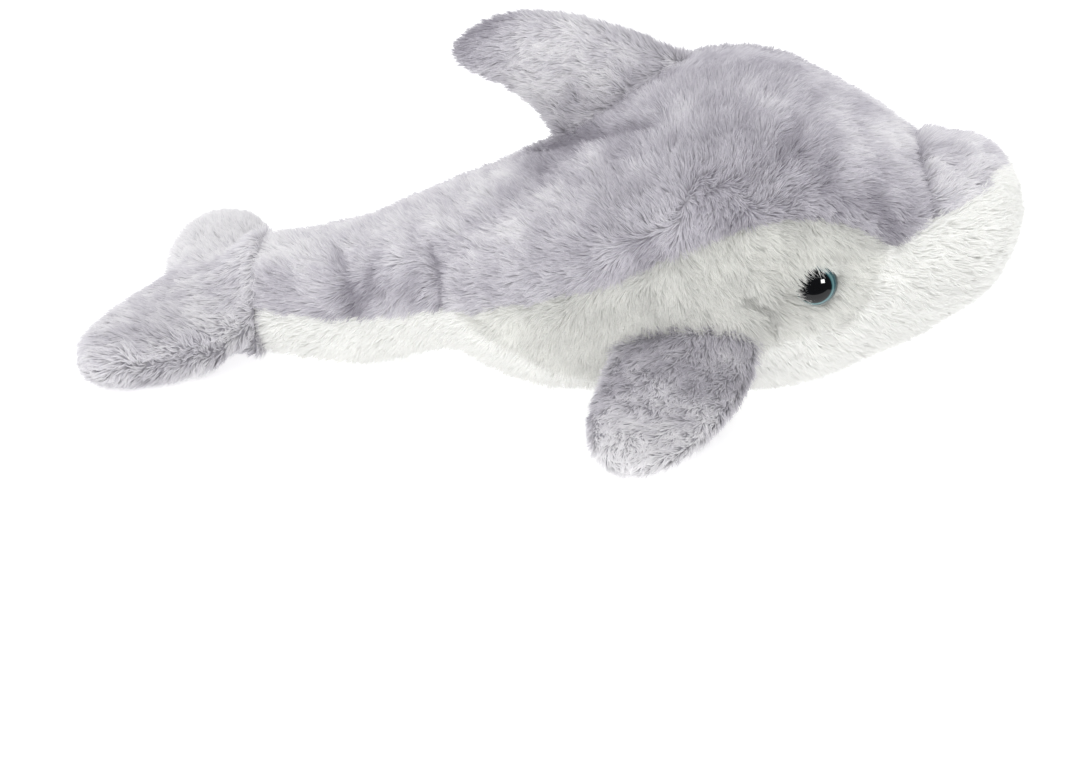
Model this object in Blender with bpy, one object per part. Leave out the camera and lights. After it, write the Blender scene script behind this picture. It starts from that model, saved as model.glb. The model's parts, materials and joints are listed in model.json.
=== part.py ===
"""Plush dolphin lying on its belly: pile panels sewn over fibre stuffing, with two safety eyes.

Metres, +Z up, the nose along +X, the floor at z = 0. The origin is under the middle of the toy.
Each form is a surface of two numbers. A panel is the form's outside, joined to the same form
drawn inwards by the fabric's thickness, and the stuffing is the form drawn inwards a little more.
"""

import math

import bmesh
import bpy
from mathutils import Matrix, Vector

# Fabric and seams
FABRIC = 0.0040  # pile and backing together, on the body
FIN_FABRIC = 0.0030  # the same on the fin, the flippers and the fluke
BACKING = 0.0010  # woven backing that the pile stands on
SEAM = 0.0003  # gap between two pieces that touch on the real toy
FILL_GAP = 0.0004  # gap between the body's fabric and its filling, which are faceted differently

# Body outline: place along the toy, height of the back, height of the belly, half the width.
# A belly below zero is pressed flat by the floor.
TAIL_END = -0.0945
NOSE_END = 0.1487
BODY_OUTLINE = (
    (TAIL_END, 0.0440, 0.0015, 0.0185),
    (-0.0800, 0.0462, -0.0002, 0.0205),
    (-0.0600, 0.0514, -0.0007, 0.0235),
    (-0.0440, 0.0588, 0.0040, 0.0262),
    (-0.0300, 0.0652, 0.0063, 0.0300),
    (-0.0160, 0.0712, 0.0000, 0.0350),
    (0.0000, 0.0795, -0.0050, 0.0410),
    (0.0180, 0.0925, -0.0045, 0.0460),
    (0.0360, 0.1050, -0.0025, 0.0500),
    (0.0540, 0.1098, -0.0015, 0.0515),
    (0.0700, 0.1085, -0.0013, 0.0505),
    (0.0850, 0.1020, 0.0025, 0.0470),
    (0.1000, 0.0942, 0.0097, 0.0415),
    (0.1110, 0.0868, 0.0147, 0.0360),
    (0.1180, 0.0865, 0.0187, 0.0335),
    (0.1260, 0.0855, 0.0245, 0.0300),
    (0.1340, 0.0850, 0.0288, 0.0272),
    (0.1420, 0.0850, 0.0325, 0.0260),
    (NOSE_END, 0.0820, 0.0400, 0.0250),
)
NOSE_ROUND = 0.0200  # length of the snout's rounded end
TAIL_BEND_START = -0.0400  # where the tail starts to turn to the left
TAIL_BEND = math.radians(3)  # its heading at the tail seam
CREASE_SWEEP = 0.0075  # how far forward the beak crease runs on the sides
CREASE_REACH = 0.0320  # how far along the head its curve fades out

# Seams of the body, as angles round it from the middle of the back
GREY_FRONT = 0.1430  # the beak's grey panel ends here in a rounded point
GREY_EDGE = (
    (TAIL_END, 94),
    (-0.0600, 97),
    (-0.0450, 103),
    (-0.0250, 106),
    (-0.0120, 96),
    (0.0050, 91),
    (0.0250, 90),
    (0.0425, 85),
    (0.0600, 78),
    (0.0730, 73.5),
    (0.0860, 70),
    (0.0940, 73.5),
    (0.1010, 79),
    (0.1050, 73.5),
    (0.1110, 67.5),
    (0.1215, 64.5),
    (0.1280, 58),
    (0.1330, 51),
    (0.1365, 37),
    (0.1395, 26),
    (0.1415, 15),
    (GREY_FRONT, 0),
)
CREASE = 0.1120  # stitched crease between the forehead and the beak, at the middle of the top
FLANK_REAR = -0.0260
FLANK_FRONT = 0.0995
FLANK_DROP = (
    (FLANK_REAR, 0),
    (-0.0190, 12),
    (-0.0045, 28),
    (0.0110, 45),
    (0.0250, 54),
    (0.0425, 56),
    (0.0600, 51),
    (0.0740, 46),
    (0.0870, 46),
    (0.0925, 43),
    (0.0950, 34),
    (0.0970, 18),
    (FLANK_FRONT, 0),
)

# Dorsal fin: where its root lies on the back, half its root's length, and half its thickness at
# the root and the tip. Then the front and rear of its outline midway, and at the tip before the
# tip is rounded off.
FIN_ROOT = 0.0212
FIN_ROOT_HALF = 0.0228
FIN_ROOT_THICK = 0.0105
FIN_TIP_THICK = 0.0072
FIN_MIDDLE = ((0.0075, 0, 0.1187), (-0.0155, 0, 0.0928))
FIN_TIP = ((-0.0230, 0, 0.1210), (-0.0390, 0, 0.0930))

# Flippers: the same, with the root's angle down the body's side. The outline is the left one's.
FLIPPER_ROOT = 0.0460
FLIPPER_ANGLE = 121
FLIPPER_ROOT_HALF = 0.0238
FLIPPER_ROOT_THICK = 0.0080
FLIPPER_TIP_THICK = 0.0068
FLIPPER_MIDDLE = ((0.0660, 0.0560, 0.0145), (0.0172, 0.0665, 0.0130))
FLIPPER_TIP = ((0.0540, 0.0955, 0.0030), (0.0110, 0.0925, 0.0030))

# Tail fluke: half its span, how far back its edges lie from the tail seam, and how high its rim
# seam stands. It turns to the left behind the tail seam, and its left lobe springs up.
FLUKE_HALF_SPAN = 0.0545
FLUKE_SWEEP = 0.0200
FLUKE_NOTCH = 0.0365
FLUKE_DEPTH = 0.0500
FLUKE_LEFT_DEPTH = 0.0455  # the same for the left lobe, which is bent up
FLUKE_FULLNESS = 2.8  # how quickly the rear edges run out from the notch
FLUKE_HALF_THICK = 0.0122
FLUKE_BLUNT = 0.65  # how full its rims are: 1 for an ellipse, less for a blunter rim
FLUKE_ROOT_FADE = 0.0250
FLUKE_RIGHT_LEVEL = 0.0104
FLUKE_LEFT_LEVEL = 0.0255
FLUKE_LEVEL_REACH = 0.0420
FLUKE_SIDE_FALL = 1.6  # how much sooner it settles sideways than backward
FLUKE_TURN = math.radians(9)
FLUKE_TURN_LENGTH = 0.0200
FLUKE_ROOT_SHARE = 0.35  # the share of the half span's rows that the root takes

# Safety eyes: a dome on a shank through the fabric, held by a lock washer behind it
EYE_PLACE = 0.0854
EYE_ANGLE = 95.7
EYE_RADIUS = 0.0067
EYE_DOME = 0.0050
EYE_FLANGE = 0.0010
SHANK_RADIUS = 0.0022
SHANK_LENGTH = 0.0085
WASHER_RADIUS = 0.0070
WASHER_THICK = 0.0012
CUT_REACH = 0.0100  # how far a cutter runs past the surface that it opens

# Finenesses of the meshes
BODY_RING_STEP = 0.0085
TURNING_PLACES = (0.0925, 0.0950, 0.0972, 0.1010, 0.1365, 0.1395, 0.1417)  # rings at sharp turns
NOSE_STEPS = 12
BACK_STEPS = 8
FLANK_STEPS = 5
BELLY_STEPS = 18
PADDLE_ROWS = 8
PADDLE_STEPS = 7
HEADING_STEP = 0.01  # share of a fin's or flipper's length over which its heading is taken
FLUKE_ROOT_ROWS = 3
FLUKE_LOBE_ROWS = 7
TURNED_STEPS = 20
DOME_STEPS = 6
STUFFING_STEPS = 20

GREY = (0.50, 0.48, 0.52, 1)
OFF_WHITE = (0.72, 0.73, 0.69, 1)
WHITE = (0.86, 0.86, 0.83, 1)
FIBRE = (0.90, 0.90, 0.88, 1)
EYE_BLACK = (0.01, 0.01, 0.012, 1)
WASHER_WHITE = (0.80, 0.80, 0.78, 1)


def clear_scene():
    for old in list(bpy.data.objects):
        bpy.data.objects.remove(old, do_unlink=True)


def material(name, colour, roughness):
    made = bpy.data.materials.new(name)
    made.use_nodes = True
    shader = made.node_tree.nodes["Principled BSDF"]
    shader.inputs["Base Color"].default_value = colour
    shader.inputs["Roughness"].default_value = roughness
    shader.inputs["Metallic"].default_value = 0.0
    return made


def smooth_step(amount):
    amount = min(1.0, max(0.0, amount))
    return amount * amount * (3 - 2 * amount)


def blend(first, last, amount):
    return first + (last - first) * amount


def curve_through(points, column=1):
    """A smooth function of place that passes through one column of a list of points."""
    places = [point[0] for point in points]
    values = [point[column] for point in points]
    last = len(points) - 1
    slopes = []
    for index in range(last + 1):
        before = max(0, index - 1)
        after = min(last, index + 1)
        slopes.append((values[after] - values[before]) / (places[after] - places[before]))

    def value_at(place):
        if place <= places[0]:
            return values[0]
        if place >= places[last]:
            return values[last]
        index = max(i for i in range(last) if places[i] <= place)
        span = places[index + 1] - places[index]
        part = (place - places[index]) / span
        rise = values[index + 1] - values[index]
        start = slopes[index] * span
        end = slopes[index + 1] * span
        cubic = start + end - 2 * rise
        square = 3 * rise - 2 * start - end
        return ((cubic * part + square) * part + start) * part + values[index]

    return value_at


back_height = curve_through(BODY_OUTLINE, 1)
belly_height = curve_through(BODY_OUTLINE, 2)
half_width = curve_through(BODY_OUTLINE, 3)
grey_edge_curve = curve_through(GREY_EDGE)
flank_drop_curve = curve_through(FLANK_DROP)


def spine(place):
    """The spine's point on the floor plan, and its heading: it turns to the left at the tail."""
    past = max(0.0, TAIL_BEND_START - place)
    reach = TAIL_BEND_START - TAIL_END
    bend = math.tan(TAIL_BEND) / (2 * reach)
    heading = math.atan(2 * bend * past)
    return Vector((place, bend * past * past, 0)), -heading


def nose_closing(place, inset):
    """How much of the outline is left at a place: 1 along the body, down to 0 at the snout's end."""
    start = NOSE_END - NOSE_ROUND
    part = (place - start) / (NOSE_ROUND - inset)
    if part <= 0:
        return 1.0
    return math.sqrt(max(0.0, 1 - part * part))


def swept(place, angle, closing):
    """A place on the middle of the back, carried forward on the sides as the beak crease is.

    The carry fades out with the snout's rounding, so that every ring still closes at its end.
    """
    fade = (1 - smooth_step(abs(place - CREASE) / CREASE_REACH)) * closing
    return place + CREASE_SWEEP * fade * math.sin(math.radians(angle)) ** 2


def body_point(place, angle, inset=0.0):
    """The body's surface at a place along it and an angle in degrees from the middle of its back.

    A positive angle goes down its left side, a negative one down its right.
    """
    closing = nose_closing(place, inset)
    place = swept(place, angle, closing)
    top = back_height(place) - inset
    bottom = belly_height(place) + inset
    middle = (top + bottom) / 2
    half_high = (top - bottom) / 2 * closing
    half_wide = (half_width(place) - inset) * closing
    turn = math.radians(angle)
    side = half_wide * math.sin(turn)
    height = middle + half_high * math.cos(turn)
    centre, heading = spine(place)
    across = Vector((-math.sin(heading), math.cos(heading), 0))
    point = centre + across * side
    point.z = max(height, inset)
    return point


def body_normal(place, angle):
    """Outward direction of the body's surface."""
    step = 0.0005
    along = body_point(place + step, angle) - body_point(place - step, angle)
    around = body_point(place, angle + 1) - body_point(place, angle - 1)
    return around.cross(along).normalized() * -1.0


def body_girth(place):
    """The surface's length for one degree round the body."""
    size = (half_width(place) + (back_height(place) - belly_height(place)) / 2) / 2
    return math.radians(size * max(0.15, nose_closing(place, 0.0)))


def grey_edge(place):
    """Angle where the grey of the back and beak ends."""
    return max(0.0, grey_edge_curve(place))


def belly_edge(place):
    """Angle where the white belly starts: below the flank where there is one."""
    if place <= FLANK_REAR or place >= FLANK_FRONT:
        return grey_edge(place)
    return grey_edge(place) + max(0.0, flank_drop_curve(place))


def weld(name, patches, finish):
    """One closed object from grids of points: points that coincide become one."""
    mesh = bpy.data.meshes.new(name)
    corners = []
    number_of = {}
    faces = []

    def number(point):
        key = (round(point.x, 7), round(point.y, 7), round(point.z, 7))
        if key not in number_of:
            number_of[key] = len(corners)
            corners.append(point)
        return number_of[key]

    for rows in patches:
        for row, next_row in zip(rows, rows[1:]):
            for index in range(len(row) - 1):
                loop = [row[index], row[index + 1], next_row[index + 1], next_row[index]]
                face = []
                for point in loop:
                    corner = number(point)
                    if corner not in face:
                        face.append(corner)
                if len(face) > 2:
                    faces.append(face)
    mesh.from_pydata([tuple(corner) for corner in corners], [], faces)
    working = bmesh.new()
    working.from_mesh(mesh)
    bmesh.ops.triangulate(working, faces=working.faces[:])
    bmesh.ops.recalc_face_normals(working, faces=working.faces[:])
    working.to_mesh(mesh)
    working.free()
    mesh.shade_smooth()
    mesh.set_sharp_from_angle(angle=math.radians(50))
    mesh.materials.append(finish)
    made = bpy.data.objects.new(name, mesh)
    bpy.context.scene.collection.objects.link(made)
    return made


def shell(name, outer, inner, finish):
    """A closed panel between an outer and an inner grid of the same size."""
    walls = [
        [outer[0], inner[0]],
        [outer[-1], inner[-1]],
        [[row[0] for row in outer], [row[0] for row in inner]],
        [[row[-1] for row in outer], [row[-1] for row in inner]],
    ]
    return weld(name, [outer, inner] + walls, finish)


def body_places(first, last):
    """Places of the rings between two ends, with each seam's end on a ring, closer at the nose."""
    marks = [FLANK_REAR, FLANK_FRONT, CREASE - SEAM / 2, CREASE + SEAM / 2, NOSE_END - NOSE_ROUND]
    marks += TURNING_PLACES
    places = set(mark for mark in marks if first < mark < last)
    places.update((first, last))
    ends = sorted(places)
    for start, end in zip(ends, ends[1:]):
        count = max(1, round((end - start) / BODY_RING_STEP))
        places.update(start + (end - start) * index / count for index in range(1, count))
    return sorted(places)


def nose_places(start):
    """Rings of the snout's rounded end, spaced by angle, up to its very tip."""
    round_start = NOSE_END - NOSE_ROUND
    places = []
    for index in range(1, NOSE_STEPS + 1):
        place = round_start + NOSE_ROUND * math.sin(math.pi / 2 * index / NOSE_STEPS)
        if place > start:
            places.append(place)
    return places


def body_rows(places, span, steps, inset):
    """Rows of points on the body: span gives a row's first and last angle at a place."""
    rows = []
    for place in places:
        first, last = span(place)
        reach = place
        if place > NOSE_END - NOSE_ROUND:
            part = (place - NOSE_END + NOSE_ROUND) / NOSE_ROUND
            reach = NOSE_END - NOSE_ROUND + (NOSE_ROUND - inset) * part
        row = []
        for index in range(steps + 1):
            angle = blend(first, last, index / steps)
            row.append(body_point(reach, angle, inset))
        rows.append(row)
    return rows


def body_panel(name, places, span, steps, finish):
    outer = body_rows(places, span, steps, 0.0)
    inner = body_rows(places, span, steps, FABRIC)
    return shell(name, outer, inner, finish)


def make_body(grey, off_white, white, fibre):
    half_seam = SEAM / 2
    for side, sign in (("right", -1), ("left", 1)):

        def back_span(place, sign=sign):
            gap = half_seam / body_girth(place)
            return sign * gap, sign * (grey_edge(place) - gap)

        def flank_span(place, sign=sign):
            gap = half_seam / body_girth(place)
            top = grey_edge(place) + gap
            low = belly_edge(place) - gap
            if low < top:
                top = low = (top + low) / 2
            return sign * top, sign * low

        back_places = body_places(TAIL_END, CREASE - half_seam)
        body_panel(f"back_{side}", back_places, back_span, BACK_STEPS, grey)
        flank_places = body_places(FLANK_REAR, FLANK_FRONT)
        body_panel(f"flank_{side}", flank_places, flank_span, FLANK_STEPS, off_white)

    def beak_span(place):
        gap = half_seam / body_girth(place)
        edge = max(0.0, grey_edge(place) - gap)
        return -edge, edge

    def belly_span(place):
        gap = half_seam / body_girth(place)
        edge = belly_edge(place) + gap
        return edge, 360 - edge

    beak_places = body_places(CREASE + half_seam, GREY_FRONT)
    body_panel("beak_top", beak_places, beak_span, BACK_STEPS * 2, grey)
    belly_places = body_places(TAIL_END, GREY_FRONT) + nose_places(GREY_FRONT)
    body_panel("belly", belly_places, belly_span, BELLY_STEPS, white)

    rows = body_rows(belly_places, lambda place: (0, 360), STUFFING_STEPS, FABRIC + FILL_GAP)
    hub = sum(rows[0][:-1], Vector()) / STUFFING_STEPS
    cap = [rows[0], [hub] * (STUFFING_STEPS + 1)]
    return weld("body_stuffing", [rows, cap], fibre)


def paddle(root, middle_row, tip_row, thicks, side):
    """The form of a fin or flipper, as a function of reach, turn and inset.

    The reach runs from 0 at its root on the body to 1 at its tip, and the turn goes round its rim:
    0 is its front edge, 90 its upper or right face, 180 its rear edge. A row is the front and the
    rear of its outline.
    """
    root_place, root_angle, root_half = root
    root_thick, tip_thick = thicks

    def root_point(turn, inset, share=1.0):
        place = root_place + share * (root_half - inset) * math.cos(turn)
        spread = share * (root_thick - inset) * math.sin(turn) / body_girth(root_place)
        angle = root_angle + side * spread
        return body_point(place, angle) + body_normal(place, angle) * SEAM

    root_row = (root_point(0, 0), root_point(math.pi, 0))
    rows = [[Vector(end) for end in row] for row in (root_row, middle_row, tip_row)]
    length = (sum(rows[2], Vector()) / 2 - sum(rows[0], Vector()) / 2).length

    def edges(reach):
        shares = (
            (1 - reach) * (1 - 2 * reach),
            4 * reach * (1 - reach),
            reach * (2 * reach - 1),
        )
        front = sum((row[0] * share for row, share in zip(rows, shares)), Vector())
        rear = sum((row[1] * share for row, share in zip(rows, shares)), Vector())
        return (front + rear) / 2, (front - rear) / 2

    def free_point(reach, turn, inset, seam_side):
        along = reach * (1 - inset / length)
        centre, chord = edges(along)
        heading = edges(along + HEADING_STEP)[0] - edges(along - HEADING_STEP)[0]
        thick = heading.cross(chord).normalized() * side
        closing = math.sqrt(max(0.0, 1 - reach**4))
        wide = chord.normalized() * (chord.length - inset) * closing
        high = thick * (blend(root_thick, tip_thick, reach) - inset) * closing
        made = centre + wide * math.cos(turn) + high * math.sin(turn)
        return made + thick * seam_side * SEAM / 2

    def point(reach, turn, inset, seam_side=0):
        made = free_point(reach, turn, inset, seam_side)
        onto_body = root_point(turn, inset) - free_point(0, turn, inset, 0)
        made += onto_body * (1 - reach) ** 2
        made.z = max(made.z, inset)
        return made

    return point, root_point


def make_paddle(names, form, fabric, finishes):
    """Two fabric faces and their stuffing from a paddle's form."""
    point, root_point = form
    grey, fibre = finishes
    reaches = [math.sin(math.pi / 2 * row / PADDLE_ROWS) for row in range(PADDLE_ROWS + 1)]
    made = []
    for name, seam_side in ((names[0], 1), (names[1], -1)):
        turns = [seam_side * math.pi * step / PADDLE_STEPS for step in range(PADDLE_STEPS + 1)]
        grids = []
        for inset in (0.0, fabric):
            grids.append([[point(r, t, inset, seam_side) for t in turns] for r in reaches])
        made.append(shell(name, grids[0], grids[1], grey))
    inset = fabric + SEAM
    turns = [2 * math.pi * step / (2 * PADDLE_STEPS) for step in range(2 * PADDLE_STEPS)] + [0.0]
    body = [[point(reach, turn, inset) for turn in turns] for reach in reaches]
    cap = [[root_point(turn, inset, share) for turn in turns] for share in (1, 0.75, 0.5, 0.25, 0)]
    made.append(weld(names[2], [body, cap], fibre))
    return made


def make_fin(finishes):
    root = (FIN_ROOT, 0, FIN_ROOT_HALF)
    form = paddle(root, FIN_MIDDLE, FIN_TIP, (FIN_ROOT_THICK, FIN_TIP_THICK), -1)
    names = ("dorsal_fin_right", "dorsal_fin_left", "dorsal_fin_stuffing")
    return make_paddle(names, form, FIN_FABRIC, finishes)


def make_flipper(side, sign, finishes):
    """A flipper on one side: sign is 1 on the left and -1 on the right."""
    root = (FLIPPER_ROOT, sign * FLIPPER_ANGLE, FLIPPER_ROOT_HALF)
    middle = [(x, sign * y, z) for x, y, z in FLIPPER_MIDDLE]
    tip = [(x, sign * y, z) for x, y, z in FLIPPER_TIP]
    form = paddle(root, middle, tip, (FLIPPER_ROOT_THICK, FLIPPER_TIP_THICK), -sign)
    names = (f"flipper_{side}_upper", f"flipper_{side}_lower", f"flipper_{side}_stuffing")
    return make_paddle(names, form, FIN_FABRIC, finishes)


def fluke_spine(back):
    """The fluke's middle line on the floor plan, and its leftward direction, behind the tail seam."""
    seam_centre, heading = spine(TAIL_END)
    first = -heading
    rate = FLUKE_TURN / FLUKE_TURN_LENGTH
    turned_back = min(back, FLUKE_TURN_LENGTH)
    last = first + rate * turned_back
    x = -(math.sin(last) - math.sin(first)) / rate - (back - turned_back) * math.cos(last)
    y = (math.cos(first) - math.cos(last)) / rate + (back - turned_back) * math.sin(last)
    return seam_centre + Vector((x, y, 0)), Vector((math.sin(last), math.cos(last), 0))


def fluke_point(share, turn, face, inset):
    """The fluke's surface: share runs from -1 at its right tip to 1 at its left, turn from 0 at the
    front edge to pi at the rear, and face is 1 above and -1 below."""
    root_half = half_width(TAIL_END) - inset
    root_top = back_height(TAIL_END)
    root_bottom = belly_height(TAIL_END)
    size = abs(share)
    lobe = max(0.0, (size - FLUKE_ROOT_SHARE) / (1 - FLUKE_ROOT_SHARE))
    lobe_span = FLUKE_HALF_SPAN - half_width(TAIL_END)
    if lobe > 0:
        out = root_half + lobe_span * lobe
    else:
        out = root_half * size / FLUKE_ROOT_SHARE
    closing = math.sqrt(max(0.0, 1 - lobe**3))
    front = FLUKE_SWEEP * lobe + inset * min(1.0, lobe * lobe_span / max(inset, SEAM))
    depth = FLUKE_DEPTH if share < 0 else FLUKE_LEFT_DEPTH
    rear = FLUKE_NOTCH + (depth - FLUKE_NOTCH) * (1 - (1 - size) ** FLUKE_FULLNESS) - inset
    middle = (front + rear) / 2
    back = middle - (middle - front) * closing * math.cos(turn)
    wing = (FLUKE_HALF_THICK - inset) * closing * max(0.0, math.sin(turn)) ** FLUKE_BLUNT
    bulge = 0.0
    if lobe == 0:
        ring = math.sqrt(max(0.0, 1 - (size / FLUKE_ROOT_SHARE) ** 2))
        fade = 1 - smooth_step(back / FLUKE_ROOT_FADE)
        bulge = ((root_top - root_bottom) / 2 - inset) * ring * fade
    rise = (wing**4 + bulge**4) ** 0.25
    side = out if share > 0 else -out
    leftness = smooth_step((side / FLUKE_NOTCH + 1) / 2)
    level = blend(FLUKE_RIGHT_LEVEL, FLUKE_LEFT_LEVEL, leftness)
    settled = smooth_step(math.hypot(back, side * FLUKE_SIDE_FALL) / FLUKE_LEVEL_REACH)
    height = blend((root_top + root_bottom) / 2, level, settled) + face * rise
    centre, left = fluke_spine(back + SEAM)
    made = centre + left * side
    made.z = max(height, inset)
    return made


def fluke_shares():
    root = [FLUKE_ROOT_SHARE * row / FLUKE_ROOT_ROWS for row in range(FLUKE_ROOT_ROWS)]
    lobe = []
    for row in range(FLUKE_LOBE_ROWS + 1):
        part = math.sin(math.pi / 2 * row / FLUKE_LOBE_ROWS)
        lobe.append(blend(FLUKE_ROOT_SHARE, 1, part))
    half = root + lobe
    return [-share for share in reversed(half[1:])] + half


def make_fluke(grey, fibre):
    shares = fluke_shares()
    turns = [math.pi * step / PADDLE_STEPS for step in range(PADDLE_STEPS + 1)]
    for name, face in (("fluke_upper", 1), ("fluke_lower", -1)):
        grids = []
        for inset in (0.0, FIN_FABRIC):
            grid = [[fluke_point(share, turn, face, inset) for turn in turns] for share in shares]
            for row in grid:
                for point in row:
                    point.z += face * SEAM / 2
                    point.z = max(point.z, inset)
            grids.append(grid)
        shell(name, grids[0], grids[1], grey)
    inset = FIN_FABRIC + SEAM
    faces = []
    for face in (1, -1):
        faces.append([[fluke_point(s, t, face, inset) for t in turns] for s in shares])
    mouth = [[row[0] for row in faces[0]], [row[0] for row in faces[1]]]
    weld("fluke_stuffing", faces + [mouth], fibre)


def turned(name, profile, base, axis, finish):
    """A closed turned shape: the profile is radius and height along the axis, end to end."""
    spin = axis.to_track_quat("Z", "Y").to_matrix()
    rows = []
    for radius, height in profile:
        row = []
        for step in range(TURNED_STEPS + 1):
            turn = 2 * math.pi * (step % TURNED_STEPS) / TURNED_STEPS
            local = Vector((radius * math.cos(turn), radius * math.sin(turn), height))
            row.append(base + spin @ local)
        rows.append(row)
    return weld(name, [rows], finish)


def cut(target, cutter):
    cutter.hide_render = True
    cutter.display_type = "WIRE"
    opening = target.modifiers.new("opening", "BOOLEAN")
    opening.operation = "DIFFERENCE"
    opening.solver = "EXACT"
    opening.object = cutter


def make_eye(side, sign, flank, stuffing, finishes):
    """A safety eye on its flank: its dome stands in the pile, its shank goes through the backing."""
    eye_finish, washer_finish = finishes
    angle = sign * EYE_ANGLE
    surface = body_point(EYE_PLACE, angle)
    axis = body_normal(EYE_PLACE, angle)
    backing_face = BACKING - FABRIC
    flange_face = backing_face + SEAM
    dome_start = flange_face + EYE_FLANGE
    profile = [(0, flange_face - SHANK_LENGTH), (SHANK_RADIUS, flange_face - SHANK_LENGTH)]
    profile += [(SHANK_RADIUS, flange_face), (EYE_RADIUS, flange_face)]
    for step in range(DOME_STEPS + 1):
        rise = math.pi / 2 * step / DOME_STEPS
        profile.append((EYE_RADIUS * math.cos(rise), dome_start + EYE_DOME * math.sin(rise)))
    profile[-1] = (0, dome_start + EYE_DOME)
    turned(f"eye_{side}", profile, surface, axis, eye_finish)

    roundness = (back_height(EYE_PLACE) - belly_height(EYE_PLACE)) / 2
    washer_sag = WASHER_RADIUS**2 / (2 * roundness)
    washer_face = -FABRIC - SEAM - washer_sag
    washer_back = washer_face - WASHER_THICK
    bore = SHANK_RADIUS + SEAM
    profile = [(bore, washer_face), (WASHER_RADIUS, washer_face)]
    profile += [(WASHER_RADIUS, washer_back), (bore, washer_back), (bore, washer_face)]
    turned(f"eye_washer_{side}", profile, surface, axis, washer_finish)

    well = EYE_RADIUS + SEAM
    profile = [(0, CUT_REACH), (well, CUT_REACH), (well, backing_face), (bore, backing_face)]
    profile += [(bore, -FABRIC - washer_sag - WASHER_THICK), (0, -FABRIC - washer_sag - WASHER_THICK)]
    cut(flank, turned(f"eye_well_{side}", profile, surface, axis, eye_finish))

    pocket = WASHER_RADIUS + SEAM
    pocket_floor = washer_back - SEAM
    shank_floor = flange_face - SHANK_LENGTH - SEAM
    profile = [(0, CUT_REACH), (pocket, CUT_REACH), (pocket, pocket_floor), (bore, pocket_floor)]
    profile += [(bore, shank_floor), (0, shank_floor)]
    cut(stuffing, turned(f"washer_pocket_{side}", profile, surface, axis, eye_finish))


def centre_on_floor():
    """Puts the origin under the middle of the finished toy's own box."""
    bpy.context.view_layer.update()
    solids = [o for o in bpy.data.objects if o.type == "MESH"]
    shown = [o for o in solids if not o.hide_render]
    corners = [o.matrix_world @ Vector(c) for o in shown for c in o.bound_box]
    middle_x = (min(c.x for c in corners) + max(c.x for c in corners)) / 2
    middle_y = (min(c.y for c in corners) + max(c.y for c in corners)) / 2
    for solid in solids:
        solid.data.transform(Matrix.Translation((-middle_x, -middle_y, 0)))
    return middle_x, middle_y


clear_scene()
grey_pile = material("grey_pile", GREY, 0.9)
off_white_pile = material("off_white_pile", OFF_WHITE, 0.9)
white_pile = material("white_pile", WHITE, 0.9)
fibre_fill = material("fibre_fill", FIBRE, 1.0)
eye_plastic = material("eye_plastic", EYE_BLACK, 0.15)
washer_plastic = material("washer_plastic", WASHER_WHITE, 0.5)
body_stuffing = make_body(grey_pile, off_white_pile, white_pile, fibre_fill)
make_fin((grey_pile, fibre_fill))
for side_name, side_sign in (("right", -1), ("left", 1)):
    make_flipper(side_name, side_sign, (grey_pile, fibre_fill))
    side_flank = bpy.data.objects[f"flank_{side_name}"]
    make_eye(side_name, side_sign, side_flank, body_stuffing, (eye_plastic, washer_plastic))
make_fluke(grey_pile, fibre_fill)
middle_of_box = centre_on_floor()
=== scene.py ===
# %% [markdown]
# # A plush dolphin
#
# The real toy is a few panels of pile fabric, sewn together inside out, turned, and stuffed with
# fibre until it is round. What the eye sees is almost only pile: short combed strands that catch
# the light where they lie flat and go dark where they point at you. So the lesson is mostly about
# growing a believable pile on a soft, slightly wrinkled skin.
#
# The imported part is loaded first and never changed. Every piece below stands where it stands.

import json
from math import atan, cos, exp, hypot, pi, radians, sin, sqrt, tan

import bmesh
import bpy
import numpy as np
from mathutils import Matrix, Vector, kdtree

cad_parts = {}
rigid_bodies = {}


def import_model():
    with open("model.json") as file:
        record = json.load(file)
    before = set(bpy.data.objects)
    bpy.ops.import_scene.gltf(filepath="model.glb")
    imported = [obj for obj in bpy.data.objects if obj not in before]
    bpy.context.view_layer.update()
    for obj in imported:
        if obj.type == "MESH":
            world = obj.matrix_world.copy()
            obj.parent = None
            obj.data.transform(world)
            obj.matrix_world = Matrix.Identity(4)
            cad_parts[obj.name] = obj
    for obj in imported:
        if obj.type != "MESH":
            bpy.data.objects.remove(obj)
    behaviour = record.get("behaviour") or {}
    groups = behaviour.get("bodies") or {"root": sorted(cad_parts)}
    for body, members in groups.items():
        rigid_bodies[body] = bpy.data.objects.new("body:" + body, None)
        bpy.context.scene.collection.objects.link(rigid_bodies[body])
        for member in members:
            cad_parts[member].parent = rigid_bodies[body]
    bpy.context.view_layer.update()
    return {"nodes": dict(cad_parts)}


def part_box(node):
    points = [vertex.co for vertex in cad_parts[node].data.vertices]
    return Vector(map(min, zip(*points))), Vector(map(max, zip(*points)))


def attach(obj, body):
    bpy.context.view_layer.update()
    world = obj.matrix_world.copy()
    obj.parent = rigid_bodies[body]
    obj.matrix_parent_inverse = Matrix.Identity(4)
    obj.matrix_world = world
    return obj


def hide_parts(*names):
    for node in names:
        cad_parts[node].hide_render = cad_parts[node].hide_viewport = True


for leftover in list(bpy.data.objects):
    bpy.data.objects.remove(leftover, do_unlink=True)
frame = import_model()

# %% [markdown]
# ## The pattern
#
# A soft toy starts as a paper pattern. Here the pattern is a handful of real sizes in metres: how
# high and how wide the body is along its length, and where the seams run. They are the same sizes
# as the part's own, so the skin made from them lies inside the solid panels.

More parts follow.
